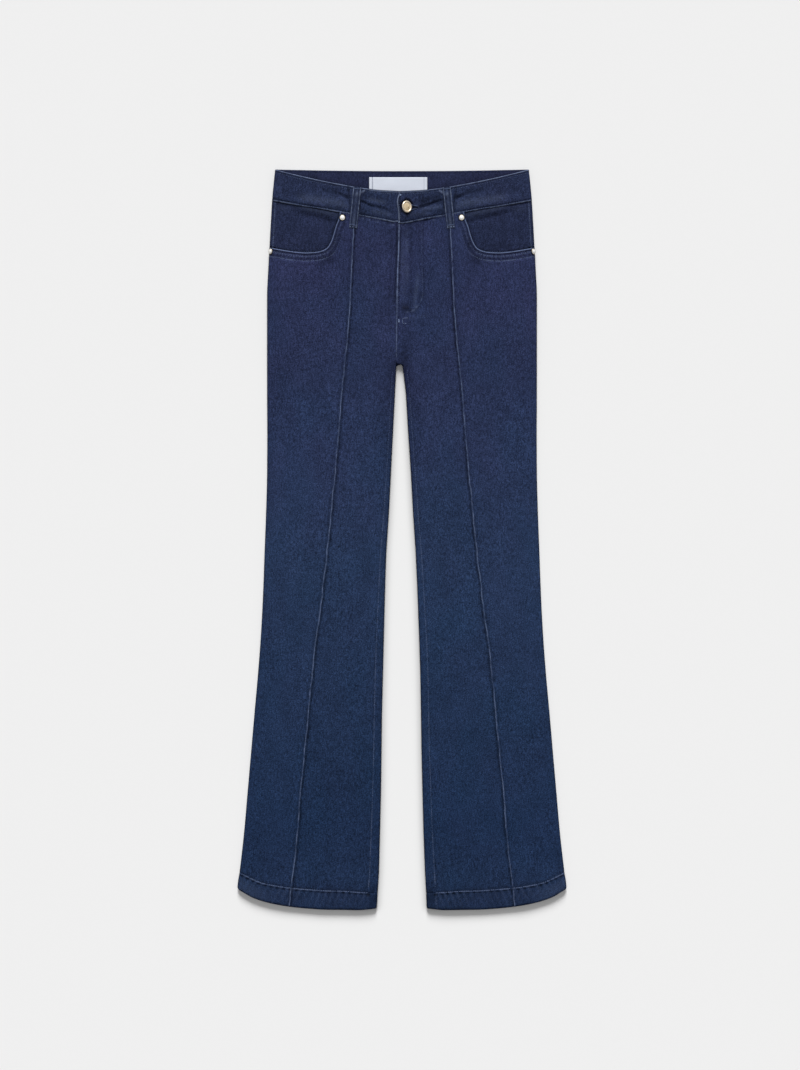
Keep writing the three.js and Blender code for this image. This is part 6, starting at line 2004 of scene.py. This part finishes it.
build_button()
for side in (-1, 1):
    word = "left" if side > 0 else "right"
    build_rivet("rivet_cap_top_" + word, "rivet_top_" + word, (side * 87.0, 469.8, float(lie("top", 469.8)) + 0.15), 0.0, side)
    y = 420.6
    lean = math.radians(45)
    ez, rr, top = float(lie("seam", y)) + 0.2, float(lie("round", y)), float(lie("top", y))
    a = math.atan2(math.cos(lean) * (top - ez), math.sin(lean) * rr)
    px, pz = float(outer_at(y)) - rr * (1 - math.cos(a)), ez + (top - ez) * math.sin(a)
    place = (side * (px + 0.15 * math.sin(lean) - 1.2 * math.cos(lean)), y, pz + 0.15 * math.cos(lean) + 1.2 * math.sin(lean))
    build_rivet("rivet_cap_side_" + word, "rivet_side_" + word, place, lean, side)

# ------------------------------------------------------------------ floor, light
floor_mat, nodes, links = material("floor")
s = nodes.new("ShaderNodeBsdfPrincipled")
s.inputs["Base Color"].default_value = (0.8, 0.8, 0.8, 1)
s.inputs["Roughness"].default_value = 1.0
s.inputs["Specular IOR Level"].default_value = 0.0
out = nodes.new("ShaderNodeOutputMaterial")
links.new(s.outputs[0], out.inputs[0])
# Between the legs the white table is darkened by a painted shadow, closest along the two inner edges.
gap_shade = nodes.new("ShaderNodeAttribute")
gap_shade.attribute_name = "gap"
gap_mix = nodes.new("ShaderNodeMix")
gap_mix.data_type = "RGBA"
gap_mix.inputs[6].default_value = (0.8, 0.8, 0.8, 1)
gap_mix.inputs[7].default_value = (0.0, 0.0, 0.004, 1)
links.new(gap_shade.outputs["Fac"], gap_mix.inputs["Factor"])
links.new(gap_mix.outputs[2], s.inputs["Base Color"])
fx = np.concatenate([[-6000.0, -80.0], np.arange(-60, 61, 1.5), [80.0, 6000.0]])
fy = np.concatenate([[-6000.0, -570.0], np.arange(-550, 275, 5.0), [290.0, 6000.0]])
FX, FY = np.meshgrid(fx, fy)
from_left = FX + inner_at(-1, FY)
from_right = inner_at(1, FY) - FX
dim = lambda v: 0.25 * np.exp(-((np.maximum(v, 0) / 6.4) ** 2))
gap = 1 - (1 - dim(from_left)) * (1 - dim(from_right))
gap = gap * ease(-548, -536, FY) * (1 - ease(262, 272, FY)) * ((np.abs(FX) < 70))
C = len(fx)
quads = np.array([(r * C + c, r * C + c + 1, (r + 1) * C + c + 1, (r + 1) * C + c) for r in range(len(fy) - 1) for c in range(C - 1)])
floor = make_mesh("floor", np.column_stack([FX.ravel(), FY.ravel(), np.full(FX.size, -0.2)]), [quads], floor_mat, {"gap": gap.ravel()}, False)

world = bpy.data.worlds.new("studio")
world.use_nodes = True
world.node_tree.nodes["Background"].inputs[0].default_value = (1.0, 1.0, 1.0, 1)
world.node_tree.nodes["Background"].inputs[1].default_value = 0.27
scene.world = world


def sun(name, elevation, azimuth, strength, angle):
    data = bpy.data.lights.new(name, "SUN")
    data.energy = strength
    data.angle = math.radians(angle)
    ob = bpy.data.objects.new(name, data)
    scene.collection.objects.link(ob)
    e, a = math.radians(elevation), math.radians(azimuth)
    towards = Vector((-math.cos(e) * math.sin(a), -math.cos(e) * math.cos(a), -math.sin(e)))
    ob.rotation_euler = towards.to_track_quat("-Z", "Y").to_euler()


# The soft key comes from beyond the waist, so that the hems throw a short soft shadow. The other hangs overhead.
sun("key", 26, 0, 5.04, 24)
sun("overhead", 89.9, 0, 0.35, 40)
